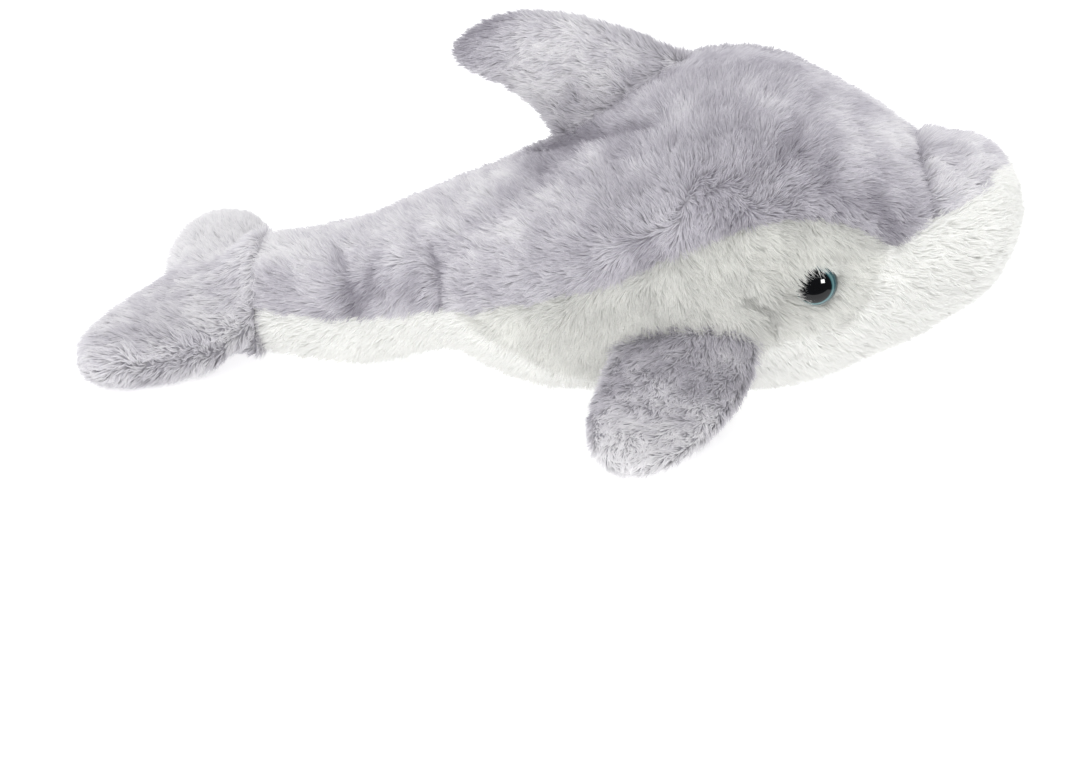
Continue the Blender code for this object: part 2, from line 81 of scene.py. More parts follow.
# %% The body's outline and seams
PILE = 0.0030  # how far the skin lies inside the finished surface: the pile's height
PADDLE_PILE = 0.0022  # the same on the fin, the flippers and the fluke
SEAM = 0.0003
TAIL_END = -0.0945
NOSE_END = 0.1487
NOSE_ROUND = 0.0200
BODY_OUTLINE = (
    (TAIL_END, 0.0440, 0.0015, 0.0185), (-0.0800, 0.0462, -0.0002, 0.0205),
    (-0.0600, 0.0514, -0.0007, 0.0235), (-0.0440, 0.0588, 0.0040, 0.0262),
    (-0.0300, 0.0652, 0.0063, 0.0300), (-0.0160, 0.0712, 0.0000, 0.0350),
    (0.0000, 0.0795, -0.0050, 0.0410), (0.0180, 0.0925, -0.0045, 0.0460),
    (0.0360, 0.1050, -0.0025, 0.0500), (0.0540, 0.1098, -0.0015, 0.0515),
    (0.0700, 0.1085, -0.0013, 0.0505), (0.0850, 0.1020, 0.0025, 0.0470), (0.1000, 0.0942, 0.0097, 0.0415),
    (0.1110, 0.0868, 0.0147, 0.0360), (0.1180, 0.0865, 0.0187, 0.0335), (0.1260, 0.0855, 0.0245, 0.0300),
    (0.1340, 0.0850, 0.0288, 0.0272), (0.1420, 0.0850, 0.0325, 0.0260),
    (NOSE_END, 0.0820, 0.0400, 0.0250),
)
TAIL_BEND_START = -0.0400
TAIL_BEND = radians(3)
CREASE = 0.1120
CREASE_SWEEP = 0.0075
CREASE_REACH = 0.0320
GREY_FRONT = 0.1430
GREY_EDGE = (
    (TAIL_END, 94), (-0.0600, 97), (-0.0450, 103), (-0.0250, 106), (-0.0120, 96), (0.0050, 91),
    (0.0250, 90), (0.0425, 85), (0.0600, 78), (0.0730, 73.5), (0.0860, 70), (0.0940, 73.5), (0.1010, 79),
    (0.1050, 73.5), (0.1110, 67.5), (0.1215, 64.5), (0.1280, 58), (0.1330, 51), (0.1365, 37),
    (0.1395, 26), (0.1415, 15), (GREY_FRONT, 0),
)
FLANK_REAR = -0.0260
FLANK_FRONT = 0.0995
FLANK_DROP = (
    (FLANK_REAR, 0), (-0.0190, 12), (-0.0045, 28), (0.0110, 45), (0.0250, 54), (0.0425, 56), (0.0600, 51),
    (0.0740, 46), (0.0870, 46), (0.0925, 43), (0.0950, 34), (0.0970, 18), (FLANK_FRONT, 0),
)

# %% [markdown]
# A smooth curve through a few sizes gives the size anywhere between them. The same small function
# serves the outline and the seams.

# %% Curves through the sizes


def smooth_step(amount):
    amount = min(1.0, max(0.0, amount))
    return amount * amount * (3 - 2 * amount)


def blend(first, last, amount):
    return first + (last - first) * amount


def curve_through(points, column=1):
    """A smooth function of place that passes through one column of a list of points."""
    places = [point[0] for point in points]
    values = [point[column] for point in points]
    last = len(points) - 1
    slopes = []
    for index in range(last + 1):
        before = max(0, index - 1)
        after = min(last, index + 1)
        slopes.append((values[after] - values[before]) / (places[after] - places[before]))

    def value_at(place):
        if place <= places[0]:
            return values[0]
        if place >= places[last]:
            return values[last]
        index = max(i for i in range(last) if places[i] <= place)
        span = places[index + 1] - places[index]
        part = (place - places[index]) / span
        rise = values[index + 1] - values[index]
        start = slopes[index] * span
        end = slopes[index + 1] * span
        cubic = start + end - 2 * rise
        square = 3 * rise - 2 * start - end
        return ((cubic * part + square) * part + start) * part + values[index]

    return value_at


back_height = curve_through(BODY_OUTLINE, 1)
belly_height = curve_through(BODY_OUTLINE, 2)
half_width = curve_through(BODY_OUTLINE, 3)
grey_edge_curve = curve_through(GREY_EDGE)
flank_drop_curve = curve_through(FLANK_DROP)

# %% [markdown]
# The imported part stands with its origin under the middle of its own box. The pattern was drawn
# from another zero, so one small shift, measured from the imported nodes, brings them together.

# %% Where the pattern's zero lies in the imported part
snout_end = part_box("belly")[1][0]
fin_middle = (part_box("dorsal_fin_right")[0][1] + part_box("dorsal_fin_left")[1][1]) / 2
ZERO = Vector((snout_end - NOSE_END, fin_middle, 0.0))
print("the pattern's zero", [round(x, 5) for x in ZERO])

# %% [markdown]
# ## The body's form
#
# A place along the body and an angle round it name one point of its surface: 0 degrees is the
# middle of the back, 180 the middle of the belly, and a negative angle is on the right side. The
# third number sinks the point below the finished surface.

# %% Points of the body


def spine(place):
    past = max(0.0, TAIL_BEND_START - place)
    bend = tan(TAIL_BEND) / (2 * (TAIL_BEND_START - TAIL_END))
    return Vector((place, bend * past * past, 0)), -atan(2 * bend * past)


def nose_closing(place, inset):
    part = (place - NOSE_END + NOSE_ROUND) / (NOSE_ROUND - inset)
    if part <= 0:
        return 1.0
    return sqrt(max(0.0, 1 - part * part))


def swept(place, angle, closing):
    fade = (1 - smooth_step(abs(place - CREASE) / CREASE_REACH)) * closing
    return place + CREASE_SWEEP * fade * sin(radians(angle)) ** 2


def body_point(place, angle, inset=0.0):
    closing = nose_closing(place, inset)
    place = swept(place, angle, closing)
    top = back_height(place) - inset
    bottom = belly_height(place) + inset
    turn = radians(angle)
    side = (half_width(place) - inset) * closing * sin(turn)
    height = (top + bottom) / 2 + (top - bottom) / 2 * closing * cos(turn)
    centre, heading = spine(place)
    point = centre + Vector((-sin(heading), cos(heading), 0)) * side
    point.z = max(height, inset)
    return point + ZERO


def body_ways(place, angle, step):
    """Two ways over the body's surface at a point: along it towards the nose, and round it."""
    along = body_point(place + step, angle) - body_point(place - step, angle)
    return along, body_point(place, angle + 1) - body_point(place, angle - 1)


def body_normal(place, angle):
    along, around = body_ways(place, angle, 0.0005)
    return along.cross(around).normalized()


def body_girth(place):
    """The surface's length for one degree round the body, in metres."""
    size = (half_width(place) + (back_height(place) - belly_height(place)) / 2) / 2
    return radians(size * max(0.15, nose_closing(place, 0.0)))


def grey_edge(place):
    return max(0.0, grey_edge_curve(place))


def belly_edge(place):
    if place <= FLANK_REAR or place >= FLANK_FRONT:
        return grey_edge(place)
    return grey_edge(place) + max(0.0, flank_drop_curve(place))


# %% [markdown]
# ## Folds and sunken seams
#
# Stuffing pushes the panels out and the seams hold them in, so each seam lies in a shallow valley.
# The toy has also been squeezed in its box: there is a fold behind the eye, one under the fin, and
# a few across the thin tail. Each is a short line on the body with a depth and a width.

# %% Lines where the skin sinks in
FOLDS = (
    ("behind the eye", ((62, 100), (66, 103), (69, 106), (71, 112), (72, 119)), 3.0, 1.6),
    ("under the fin", ((-2, 6), (10, 19), (20, 27), (30, 35), (36, 38)), 3.2, 2.4),
    ("rear tail wrinkle", ((-66, 40), (-62, 60), (-60, 76), (-60, 92)), 1.7, 2.6),
    ("middle tail wrinkle", ((-53, 58), (-54, 72), (-56, 89)), 1.4, 2.2),
    ("front tail wrinkle", ((-34, 60), (-32, 74), (-30, 88), (-31, 104)), 2.2, 2.0),
    ("beside the hump", ((79, 22), (77, 36), (72, 50)), 1.0, 3.4),
    ("dip before the eye", ((97, 58), (99, 68), (101, 78)), 1.8, 3.6),
    ("cheek under the eye", ((92, 112), (86, 121), (78, 127)), 0.9, 3.0),
)
MM = 0.001
SEAM_VALLEY = 0.0006
SEAM_VALLEY_WIDTH = 0.0016
CREASE_VALLEY = 0.0022
CREASE_VALLEY_WIDTH = 0.0013
TAIL_VALLEY = 0.0022
TAIL_VALLEY_WIDTH = 0.0016


def valley(distance, depth, width):
    return depth * exp(-((distance / width) ** 2))


def distance_to_line(x, y, points):
    best = 1.0
    for (ax, ay), (bx, by) in zip(points, points[1:]):
        length = (bx - ax) ** 2 + (by - ay) ** 2
        part = ((x - ax) * (bx - ax) + (y - ay) * (by - ay)) / length
        part = min(1.0, max(0.0, part))
        best = min(best, hypot(ax + part * (bx - ax) - x, ay + part * (by - ay) - y))
    return best


def side_angle(angle):
    """The angle from the middle of the back, whichever side it is on."""
    return min(abs(angle), 360 - abs(angle))


def folded(place, angle):
    """How far the folds alone pull the skin in."""
    girth = body_girth(place)
    total = 0.0
    for _, line, depth, width in FOLDS:
        if abs(place / MM - line[0][0]) > 45:
            continue
        points = [(at * MM, turn * girth) for at, turn in line]
        away = distance_to_line(place, side_angle(angle) * girth, points)
        total += valley(away, depth * MM, width * MM)
    return total


def sunk(place, angle):
    """How far folds and seams pull the skin in at a point of the body."""
    side = side_angle(angle)
    girth = body_girth(place)
    total = valley((side - grey_edge(place)) * girth, SEAM_VALLEY, SEAM_VALLEY_WIDTH)
    if FLANK_REAR < place < FLANK_FRONT:
        total += valley((side - belly_edge(place)) * girth, SEAM_VALLEY, SEAM_VALLEY_WIDTH)
    if side < grey_edge(place) + 4:
        total += valley(place - CREASE, CREASE_VALLEY, CREASE_VALLEY_WIDTH)
    total += valley(place - TAIL_END, TAIL_VALLEY, TAIL_VALLEY_WIDTH)
    return total + folded(place, angle)


# %% [markdown]
# ## One skin for the body
#
# The six body panels are sewn into one closed bag, so the skin is one closed mesh. Its columns
# follow the seams: a fixed number from the spine to the grey's edge, more down the flank, and the
# rest over the belly. Where a panel runs out to a point its columns shrink to nothing, and points
# that coincide are welded. Each face remembers its panel as its material.

# %% Rings and columns of the skin
RING = 0.0020
BACK_COLUMNS = 22
FLANK_COLUMNS = 12
BELLY_COLUMNS = 26
NOSE_RINGS = 22
PANELS = ("back_right", "back_left", "flank_right", "flank_left", "belly", "beak_top")


def skin_places():
    ends = [TAIL_END, FLANK_REAR, FLANK_FRONT, CREASE, NOSE_END - NOSE_ROUND]
    places = [TAIL_END]
    for start, end in zip(ends, ends[1:]):
        count = max(1, round((end - start) / RING))
        places += [blend(start, end, index / count) for index in range(1, count + 1)]
    turn = pi / 2 / NOSE_RINGS
    places += [ends[-1] + NOSE_ROUND * sin(turn * row) for row in range(1, NOSE_RINGS + 1)]
    return places


def skin_angles(place):
    """The angles of one ring's columns, from the back's middle round to it again."""
    grey = grey_edge(place)
    white = belly_edge(place)
    half = [grey * step / BACK_COLUMNS for step in range(BACK_COLUMNS)]
    half += [blend(grey, white, step / FLANK_COLUMNS) for step in range(FLANK_COLUMNS)]
    half += [blend(white, 180, step / BELLY_COLUMNS) for step in range(BELLY_COLUMNS + 1)]
    return half + [360 - angle for angle in reversed(half[:-1])]


def seam_distance(place, side):
    """How far a point of the body is from the nearest seam between two colours."""
    to_seam = min(abs(side - grey_edge(place)), abs(side - belly_edge(place)))
    return to_seam * body_girth(place)


def column_panel(column, place):
    half = BACK_COLUMNS + FLANK_COLUMNS + BELLY_COLUMNS
    left = column < half
    if not left:
        column = 2 * half - 1 - column
    if column < BACK_COLUMNS:
        if place > CREASE:
            return "beak_top"
        return "back_left" if left else "back_right"
    if column < BACK_COLUMNS + FLANK_COLUMNS:
        return "flank_left" if left else "flank_right"
    return "belly"


# %% [markdown]
# The pile's lie is what gives a used plush its character. Someone has stroked this one: over the
# tail it lies back and upwards, round the hump it fans out from a spot above the flipper, on the
# forehead it lies forwards, and down the flank it hangs. A few strokes say so, each with a place,
# an angle round the body, a heading, how steeply the strands rise, and a painted tone: painted
# sheen where the pile is stroked away from the eye, painted shade where it is stroked towards it,
# and a painted shadow under the fin's overhang. Heading 0 is backwards, 90 down, -90 up to the
# spine and 180 forwards. Any other point takes a mean of the near strokes.

# %% Strokes of the comb
# The fifth number of each stroke is painted light and shade, not a colour of the cloth.
STROKES = (
    (-88, 15, -25, 28, 1.3), (-80, 29, -35, 30, 1.2), (-78, 71, -25, 34, 0.1), (-62, 44, -36, 32, 0.7),
    (-58, 82, 35, 40, -0.2), (-46, 42, -40, 32, 0.7), (-45, 82, 40, 42, -0.3), (-30, 32, -38, 30, 0.9),
    (-28, 75, -15, 38, 0.0), (-15, 19, -40, 30, 0.8), (-12, 61, -30, 34, 0.7), (-11, 89, -5, 40, 0.0),
    (9, 20, -45, 42, -1.7), (2, 24, -40, 34, -0.5), (15, 33, -45, 32, 0.4), (24, 26, -50, 32, 0.0),
    (7, 59, -52, 36, 0.3), (8, 87, -10, 46, -0.2), (25, 46, -60, 36, -0.3), (32, 71, -80, 46, -0.5),
    (32, 84, 60, 44, -0.2), (40, 4, 180, 28, -0.1), (48, 35, -85, 34, -0.1), (57, 22, -95, 30, 0.1),
    (58, 3, 180, 26, -0.1), (60, 50, -90, 44, -0.8), (58, 75, 90, 58, -0.6), (71, 34, -125, 34, 0.1),
    (80, 55, -140, 56, -1.0), (70, 65, -120, 60, -0.9), (88, 66, 120, 56, -0.7), (92, 34, -175, 32, 0.4),
    (97, 50, -170, 36, 0.3), (99, 70, 150, 48, -0.3), (104, 23, 180, 30, 1.0), (90, 5, -170, 28, 0.4),
    (116, 29, 165, 32, 0.8), (119, 54, -165, 34, 0.8), (129, 28, 180, 32, 0.7), (138, 18, 180, 34, 0.6),
    (-5, 107, 80, 38, 0.5), (20, 106, 90, 36, 0.2), (36, 102, 108, 34, 0.1), (50, 90, 128, 36, 0.1),
    (57, 104, 132, 34, 0.1), (70, 82, 155, 34, 0.0), (68, 106, 150, 32, 0.3), (90, 109, 148, 34, 0.9),
    (97, 93, 170, 30, 0.9), (80, 118, 140, 34, 0.9), (32, 116, 100, 36, 0.2), (76, 95, 180, 60, 0.0),
    (78, 85, 145, 60, 0.0), (78, 104, -160, 52, 0.2), (86, 82, 110, 46, 0.1), (-79, 117, 20, 34, 0.0),
    (-62, 119, 20, 34, 0.0), (-40, 118, 30, 34, 0.0), (0, 150, 60, 32, 0.0), (50, 150, 120, 32, 0.0),
    (99, 104, 158, 32, 0.2), (105, 118, 164, 32, 0.0), (118, 105, 170, 32, 0.0), (130, 80, 175, 34, 0.2),
    (146, 60, 175, 38, 0.0), (140, 150, 170, 34, 0.0),
)


def combed(place, angle):
    """The lie at a point of the body: heading backward and downward, rise in radians, and painted tone of
    light and shade.
    """
    side = side_angle(angle)
    girth = body_girth(place) / MM
    sums = [0.0, 0.0, 0.0, 0.0]
    total = 0.0
    for at, turn, heading, steep, tone in STROKES:
        away = (place / MM - at) ** 2 + ((side - turn) * girth) ** 2
        weight = 1 / (away + 9) ** 2
        stroke = (cos(radians(heading)), sin(radians(heading)), steep, tone)
        sums = [done + weight * value for done, value in zip(sums, stroke)]
        total += weight
    backward, downward, rise, tone = (value / total for value in sums)
    return backward, downward, radians(rise), tone


# %% [markdown]
# Skins, eyes and fillings are all grids of points. One function welds a grid into a mesh with its
# faces turned outwards, and remembers for each point which row and column it came from.

# %% Weld a grid of points into a skin


def put(name, data):
    """Puts a new object into the scene."""
    thing = bpy.data.objects.new(name, data)
    bpy.context.scene.collection.objects.link(thing)
    return thing


def add_skin(name, rows, panels_of=None, finishes=()):
    """Welds a grid of points into one mesh. A face's material index is its panel's number."""
    numbers = {}
    points = []
    faces = []
    marks = []
    owners = []

    def number(row, column):
        point = rows[row][column]
        key = tuple(round(value, 6) for value in point)
        if key not in numbers:
            numbers[key] = len(points)
            points.append(tuple(point))
            owners.append((row, column))
        return numbers[key]

    for row in range(len(rows) - 1):
        for column in range(len(rows[row]) - 1):
            loop = []
            for corner in ((row, column), (row, column + 1), (row + 1, column + 1), (row + 1, column)):
                mark = number(*corner)
                if mark not in loop:
                    loop.append(mark)
            if len(loop) > 2:
                faces.append(loop)
                marks.append(panels_of(row, column) if panels_of else 0)
    mesh = bpy.data.meshes.new(name)
    mesh.from_pydata(points, [], faces)
    for finish in finishes:
        mesh.materials.append(finish)
    mesh.polygons.foreach_set("material_index", marks)
    tidy = bmesh.new()
    tidy.from_mesh(mesh)
    bmesh.ops.recalc_face_normals(tidy, faces=tidy.faces[:])
    tidy.to_mesh(mesh)
    tidy.free()
    mesh.shade_smooth()
    return put(name, mesh), owners


# %% [markdown]
# ## Finishes
#
# Plush is polyester pile knitted into a thin backing. Polyester has an IOR near 1.6 but the strands
# are so fine and so many that the eye sees a soft, nearly matt surface with a velvet-like sheen.
# Colours are given as sRGB hex values, as a picker shows them, and turned to linear once.

# %% Colour and node helpers


def linear(code):
    """An sRGB hex colour as linear red, green, blue and alpha."""
    parts = [int(code[index : index + 2], 16) / 255 for index in (1, 3, 5)]
    return [p / 12.92 if p <= 0.04045 else ((p + 0.055) / 1.055) ** 2.4 for p in parts] + [1.0]


def add_node(tree, kind, links=None, **settings):
    """Adds a node, sets its properties, and fills its inputs with values or other nodes' sockets."""
    node = tree.nodes.new(kind)
    for key, value in settings.items():
        setattr(node, key, value)
    for key, value in (links or {}).items():
        socket = node.inputs[key]
        if isinstance(value, bpy.types.NodeSocket):
            tree.links.new(value, socket)
        else:
            socket.default_value = value
    return node


def new_finish(name, roughness, **sockets):
    finish = bpy.data.materials.new(name)
    finish.use_nodes = True
    shader = finish.node_tree.nodes["Principled BSDF"]
    shader.inputs["Roughness"].default_value = roughness
    for key, value in sockets.items():
        shader.inputs[key.replace("_", " ")].default_value = value
    return finish, finish.node_tree, shader


# %% [markdown]
# Nothing on a soft toy has one flat colour, so a noise lets the colour wander between two tones.
# The backing is also a fine knit. It hardly shows between the strands, but where it does it is
# darker than the pile, because little light gets down there. A small wave pattern, 1.2 mm from rib
# to rib, stands for the knit.

# %% Mottled finishes and the knitted backing
KNIT_RIB = 0.0012


def add_ramp(tree, share, stops):
    """A colour ramp over a share, from pairs of a place and a linear colour."""
    ramp = add_node(tree, "ShaderNodeValToRGB", {"Fac": share})
    elements = ramp.color_ramp.elements
    for element, (place, colour) in zip(elements, (stops[0], stops[-1])):
        element.position = place
        element.color = colour
    for place, colour in stops[1:-1]:
        elements.new(place).color = colour
    return ramp.outputs["Color"]


def mottled(name, roughness, scale, detail, stops):
    """A finish whose colour wanders between stops by a noise on the piece."""
    finish, tree, shader = new_finish(name, roughness)
    where = add_node(tree, "ShaderNodeTexCoord").outputs["Object"]
    noise = add_node(tree, "ShaderNodeTexNoise", {"Vector": where, "Scale": scale, "Detail": detail})
    tree.links.new(add_ramp(tree, noise.outputs["Fac"], stops), shader.inputs["Base Color"])
    return finish, tree, shader, where


def backing(name, code):
    base = linear(code)
    deep = [value * 0.86 for value in base[:3]] + [1.0]
    finish, tree, shader, where = mottled(name, 0.95, 90.0, 2.0, ((0.35, deep), (0.65, base)))
    rib = {"Vector": where, "Scale": 1 / KNIT_RIB / 20, "Distortion": 2.0}
    ribs = add_node(tree, "ShaderNodeTexWave", rib).outputs["Fac"]
    relief = add_node(tree, "ShaderNodeBump", {"Height": ribs, "Strength": 0.3, "Distance": 0.0003})
    tree.links.new(relief.outputs["Normal"], shader.inputs["Normal"])
    return finish


GREY_BACKING = backing("grey knitted backing", "#b3b1b8")
OFF_WHITE_BACKING = backing("off-white knitted backing", "#d9d9d4")
WHITE_BACKING = backing("white knitted backing", "#f6f6f3")

# %% [markdown]
# A strand is painted darker at its root, as painted shade from its neighbours, and lighter at its
# tip, as a painted sheen. Each strand also has its own tone, which carries painted light and shade
# as well as chance. Both are written into the strand's UV map as it grows: across is the tone, up is
# the way from root to tip. The finish only has to read it. Grey pile is painted lilac where its
# tone is dark and neutral where its tone is light, so its colour follows the painted shade and sheen.

# %% Pile finish
GLOW = 0.0020  # how far light wanders inside the pile: polyester strands are translucent


def pile_finish(name, strand_colours, shade_tints, sheen, vary):
    """A pile's finish: colours from root to tip with painted shade at the root and painted sheen at the
    tip, and colours for its painted dark and light patches.
    """
    root, middle, tip, deep, shining = (linear(code) for code in strand_colours + shade_tints)
    finish, tree, shader = new_finish(
        name, 0.62, Sheen_Weight=sheen, Sheen_Roughness=0.45, Specular_IOR_Level=0.25,
        Subsurface_Weight=0.5, Subsurface_Scale=GLOW, Subsurface_Radius=(1.0, 1.0, 1.0),
    )
    grown = add_node(tree, "ShaderNodeUVMap", uv_map="OFBake").outputs["UV"]
    parts = add_node(tree, "ShaderNodeSeparateXYZ", {"Vector": grown}).outputs
    length = add_ramp(tree, parts["Y"], ((0.0, root), (0.45, middle), (1.0, tip)))
    span = {"Value": parts["X"], "To Min": 1 - vary, "To Max": 1 + vary}
    tone = add_node(tree, "ShaderNodeMapRange", span).outputs["Result"]
    # The tone brightens or darkens the colour: painted light and shade, with some chance.
    coloured = add_node(tree, "ShaderNodeHueSaturation", {"Color": length, "Value": tone}).outputs["Color"]
    # Lilac in painted shade, neutral in painted sheen, following the same tone.
    shade_tint = add_ramp(tree, parts["X"], ((0.0, deep), (1.0, shining)))
    tinted = add_node(
        tree, "ShaderNodeMix", {0: 1.0, 6: coloured, 7: shade_tint}, data_type="RGBA", blend_type="MULTIPLY",
    )
    tree.links.new(tinted.outputs[2], shader.inputs["Base Color"])
    return finish


NO_SHADE_TINT = ("#ffffff", "#ffffff")
# The grey pile's last two colours are lilac for its painted shade and neutral for its painted sheen.
GREY_PILE = pile_finish(
    "grey polyester pile", ("#a5a3a9", "#cbcad0", "#dbdadf"), ("#fbf6ff", "#fffffa"), 0.20, 0.40,
)
OFF_WHITE_PILE = pile_finish(
    "off-white polyester pile", ("#d2d2ce", "#dededa", "#e6e6e2"), NO_SHADE_TINT, 0.15, 0.25,
)
WHITE_PILE = pile_finish("white polyester pile", ("#f2f2ef", "#f6f6f3", "#f8f8f6"), NO_SHADE_TINT, 0.10, 0.08)
print("pile finishes:", GREY_PILE.name, OFF_WHITE_PILE.name, WHITE_PILE.name, sep=", ")

# %% [markdown]
# ## Puffing the panels
#
# A stuffed panel swells between its seams. The cloth solver shows by how much: the form is remeshed
# into even 5 mm cells, its seams are pinned, and a little pressure is let in with gravity off. The
# cells are too coarse to keep, so only their movement is used: the fine skin takes the movement of
# the cells near it, never more than a capped distance.

# %% Cloth under pressure
CELL = 0.0050
PRESSURE = 4.0
LAST_FRAME = 20


def plain_mesh(thing):
    """The mesh that an object's modifiers make of it."""
    bpy.context.view_layer.update()
    graph = bpy.context.evaluated_depsgraph_get()
    return bpy.data.meshes.new_from_object(thing.evaluated_get(graph))


def puff(name, solid, pinned, most):
    """Returns the cells' places at rest and their capped movement under pressure."""
    bag = put(name, solid.data.copy())
    even = bag.modifiers.new("even cells", "REMESH")
    even.mode = "VOXEL"
    even.voxel_size = CELL
    cells = plain_mesh(bag)
    bag.modifiers.clear()
    bag.data = cells
    held = bag.vertex_groups.new(name="held by seams")
    for vertex in cells.vertices:
        held.add([vertex.index], pinned(vertex.co), "REPLACE")
    rest = [vertex.co.copy() for vertex in cells.vertices]
    cloth = bag.modifiers.new("stuffed", "CLOTH")
    cloth.settings.quality = 5
    cloth.settings.mass = 0.15
    cloth.settings.tension_stiffness = 15
    cloth.settings.compression_stiffness = 15
    cloth.settings.bending_stiffness = 0.5
    cloth.settings.use_pressure = True
    cloth.settings.uniform_pressure_force = PRESSURE
    cloth.settings.vertex_group_mass = held.name
    cloth.settings.effector_weights.gravity = 0.0
    cloth.point_cache.frame_start = 1
    cloth.point_cache.frame_end = LAST_FRAME
    for step in range(1, LAST_FRAME + 1):
        bpy.context.scene.frame_set(step)
    moves = []
    for before, vertex in zip(rest, plain_mesh(bag).vertices):
        move = vertex.co - before
        if move.length > most:
            move = move.normalized() * most
        moves.append(move)
    bpy.context.scene.frame_set(1)
    bpy.data.objects.remove(bag, do_unlink=True)
    print(name, "cells", len(rest), "widest move mm", round(max(m.length for m in moves) / MM, 2))
    return rest, moves


# %% Carry the movement over to the fine skin


def follow(skin, rest, moves):
    """Moves a fine skin's points as the cells near them moved."""
    tree = kdtree.KDTree(len(rest))
    for index, place in enumerate(rest):
        tree.insert(place, index)
    tree.balance()
    for vertex in skin.data.vertices:
        near = tree.find_n(vertex.co, 6)
        shares = [1 / (distance + MM) ** 2 for _, _, distance in near]
        move = sum((moves[index] * share for (_, index, _), share in zip(near, shares)), Vector())
        vertex.co += move / sum(shares)
        vertex.co.z = max(vertex.co.z, MM)
    skin.data.update()


# %% [markdown]
# Now the body's skin itself. It starts a little smaller than it ends, because the pressure swells
# it.

# %% The body's skin
SWELL = 0.0008  # what the pressure adds in the middle of a panel
CORE_GAP = 0.0010  # the filling lies this far inside the skin
body_places = skin_places()


def body_rings(deeper):
    """Rings of points from tail to nose, this much deeper than the skin."""
    rows = []
    for place in body_places:
        part = max(0.0, (place - NOSE_END + NOSE_ROUND) / NOSE_ROUND)
        row = []
        for angle in skin_angles(place):
            inset = PILE + SWELL + deeper + sunk(place, angle)
            reach = max(place, TAIL_END + deeper)
            if part > 0:
                reach = NOSE_END - NOSE_ROUND + (NOSE_ROUND - inset) * part
            row.append(body_point(reach, angle, inset))
        rows.append(row)
    middle = sum(rows[0][:-1], Vector()) / (len(rows[0]) - 1)
    return [[middle] * len(rows[0])] + rows


PANEL_FINISH = (
    GREY_BACKING, GREY_BACKING, OFF_WHITE_BACKING, OFF_WHITE_BACKING, WHITE_BACKING, GREY_BACKING,
)


def body_panel_at(row, column):
    place = body_places[max(0, row - 1)]
    if place >= CREASE:
        place += SEAM
    return PANELS.index(column_panel(column, place))


body_skin, body_owners = add_skin("body_skin", body_rings(0), body_panel_at, PANEL_FINISH)
print("body skin points", len(body_skin.data.vertices), "faces", len(body_skin.data.polygons))

# %% [markdown]
# Every point of the skin learns which way its pile lies. The heading turns into a direction in
# space with the form's own two directions there: along the body, and down round it.
#
# Where pile meets the eye it was trimmed less: on the side towards the tail it stands over the rim.

# %% Long pile over the eye's rim
EYE_PLACE = 0.0854
EYE_ANGLE = 95.7
EYE_RADIUS = 0.0067
LASH_REACH = 0.0042  # how far from the eye's rim the long pile starts
LASH_LONG = 1.5
LASH_BACK = 0.9  # the long pile stands behind the eye, and this much
LASH_OVER = 0.45  # above it


def lash(place, side):
    """How much longer the pile is here because it stands over the eye's rim."""
    along = place - EYE_PLACE
    down = (side - EYE_ANGLE) * body_girth(place)
    away = hypot(along, down)
    towards = -(along * LASH_BACK + down * LASH_OVER) / max(away, MM)
    ring = 1 - smooth_step(abs(away - EYE_RADIUS - LASH_REACH / 2) / LASH_REACH)
    return 1 + (LASH_LONG - 1) * ring * smooth_step(towards * 2)


# %% The lie at a point, and how seams and folds change the pile
SEAM_SHORT = 0.0022  # pile is shorter than usual this near to a seam, where the sewing traps it
# Near the two seams that were sewn through, and in folds, the pile is painted darker: painted shade in
# their grooves.
STITCH_SHADE = 0.0028  # pile looks deeper this near to the two seams that were sewn through
SEAM_LENGTH = 0.75  # the pile's share of its length at a seam between two panels
STITCH_LENGTH = 0.35  # the same at the beak crease and the tail seam
STITCH_PAINTED_SHADE = 1.8
FULL_FOLD = 2.5 * MM  # a fold of this depth counts whole
FOLD_SHORTER = 0.4
FOLD_PAINTED_SHADE = 1.6


def lie_on_body(place, angle):
    along, around = body_ways(place, angle, 0.0008)
    if angle > 180:
        around = -around
    if along.length < 1e-7 or around.length < 1e-7:
        along = Vector((0, 0, -1))
        around = Vector((0, 1, 0))
    backward, downward, rise, tone = combed(place, angle)
    heading = -along.normalized() * backward + around.normalized() * downward
    return heading.normalized(), rise, tone


# %% Fields on the skin


def write_field(mesh, name, kind, values):
    field = mesh.attributes.new(name, kind, "POINT")
    if kind == "FLOAT_VECTOR":
        field.data.foreach_set("vector", [part for value in values for part in value])
    else:
        field.data.foreach_set("value", values)


LIE = {"comb": "FLOAT_VECTOR", "rise": "FLOAT", "shade": "FLOAT", "long": "FLOAT"}


def write_lie(skin, lies):
    """Writes each point's heading, rise, tone and share of the pile's length on a skin."""
    for (name, kind), values in zip(LIE.items(), zip(*lies)):
        write_field(skin.data, name, kind, values)


# %% The lie of the body's pile
lies = []
for row, column in body_owners:
    place = min(body_places[max(0, row - 1)], NOSE_END - 0.0004)
    angle = skin_angles(place)[column]
    comb, rise, tone = lie_on_body(place, angle)
    side = side_angle(angle)
    stitched = abs(place - TAIL_END)
    if side < grey_edge(place) + 4:
        stitched = min(stitched, abs(place - CREASE))
    fold = min(1.0, folded(place, angle) / FULL_FOLD)
    short = blend(SEAM_LENGTH, 1.0, smooth_step(seam_distance(place, side) / SEAM_SHORT))
    short *= blend(STITCH_LENGTH, 1.0, smooth_step(stitched / SEAM_SHORT))
    short *= (1 - FOLD_SHORTER * fold) * lash(place, side)
    # Folds and the two stitched seams darken the tone: painted shade in their valleys.
    tone -= FOLD_PAINTED_SHADE * fold + STITCH_PAINTED_SHADE * (1 - smooth_step(stitched / STITCH_SHADE))
    lies.append((comb, rise, tone, short))
write_lie(body_skin, lies)
print("pile on the body: longest", round(max(lie[3] for lie in lies), 2), "of its usual length")

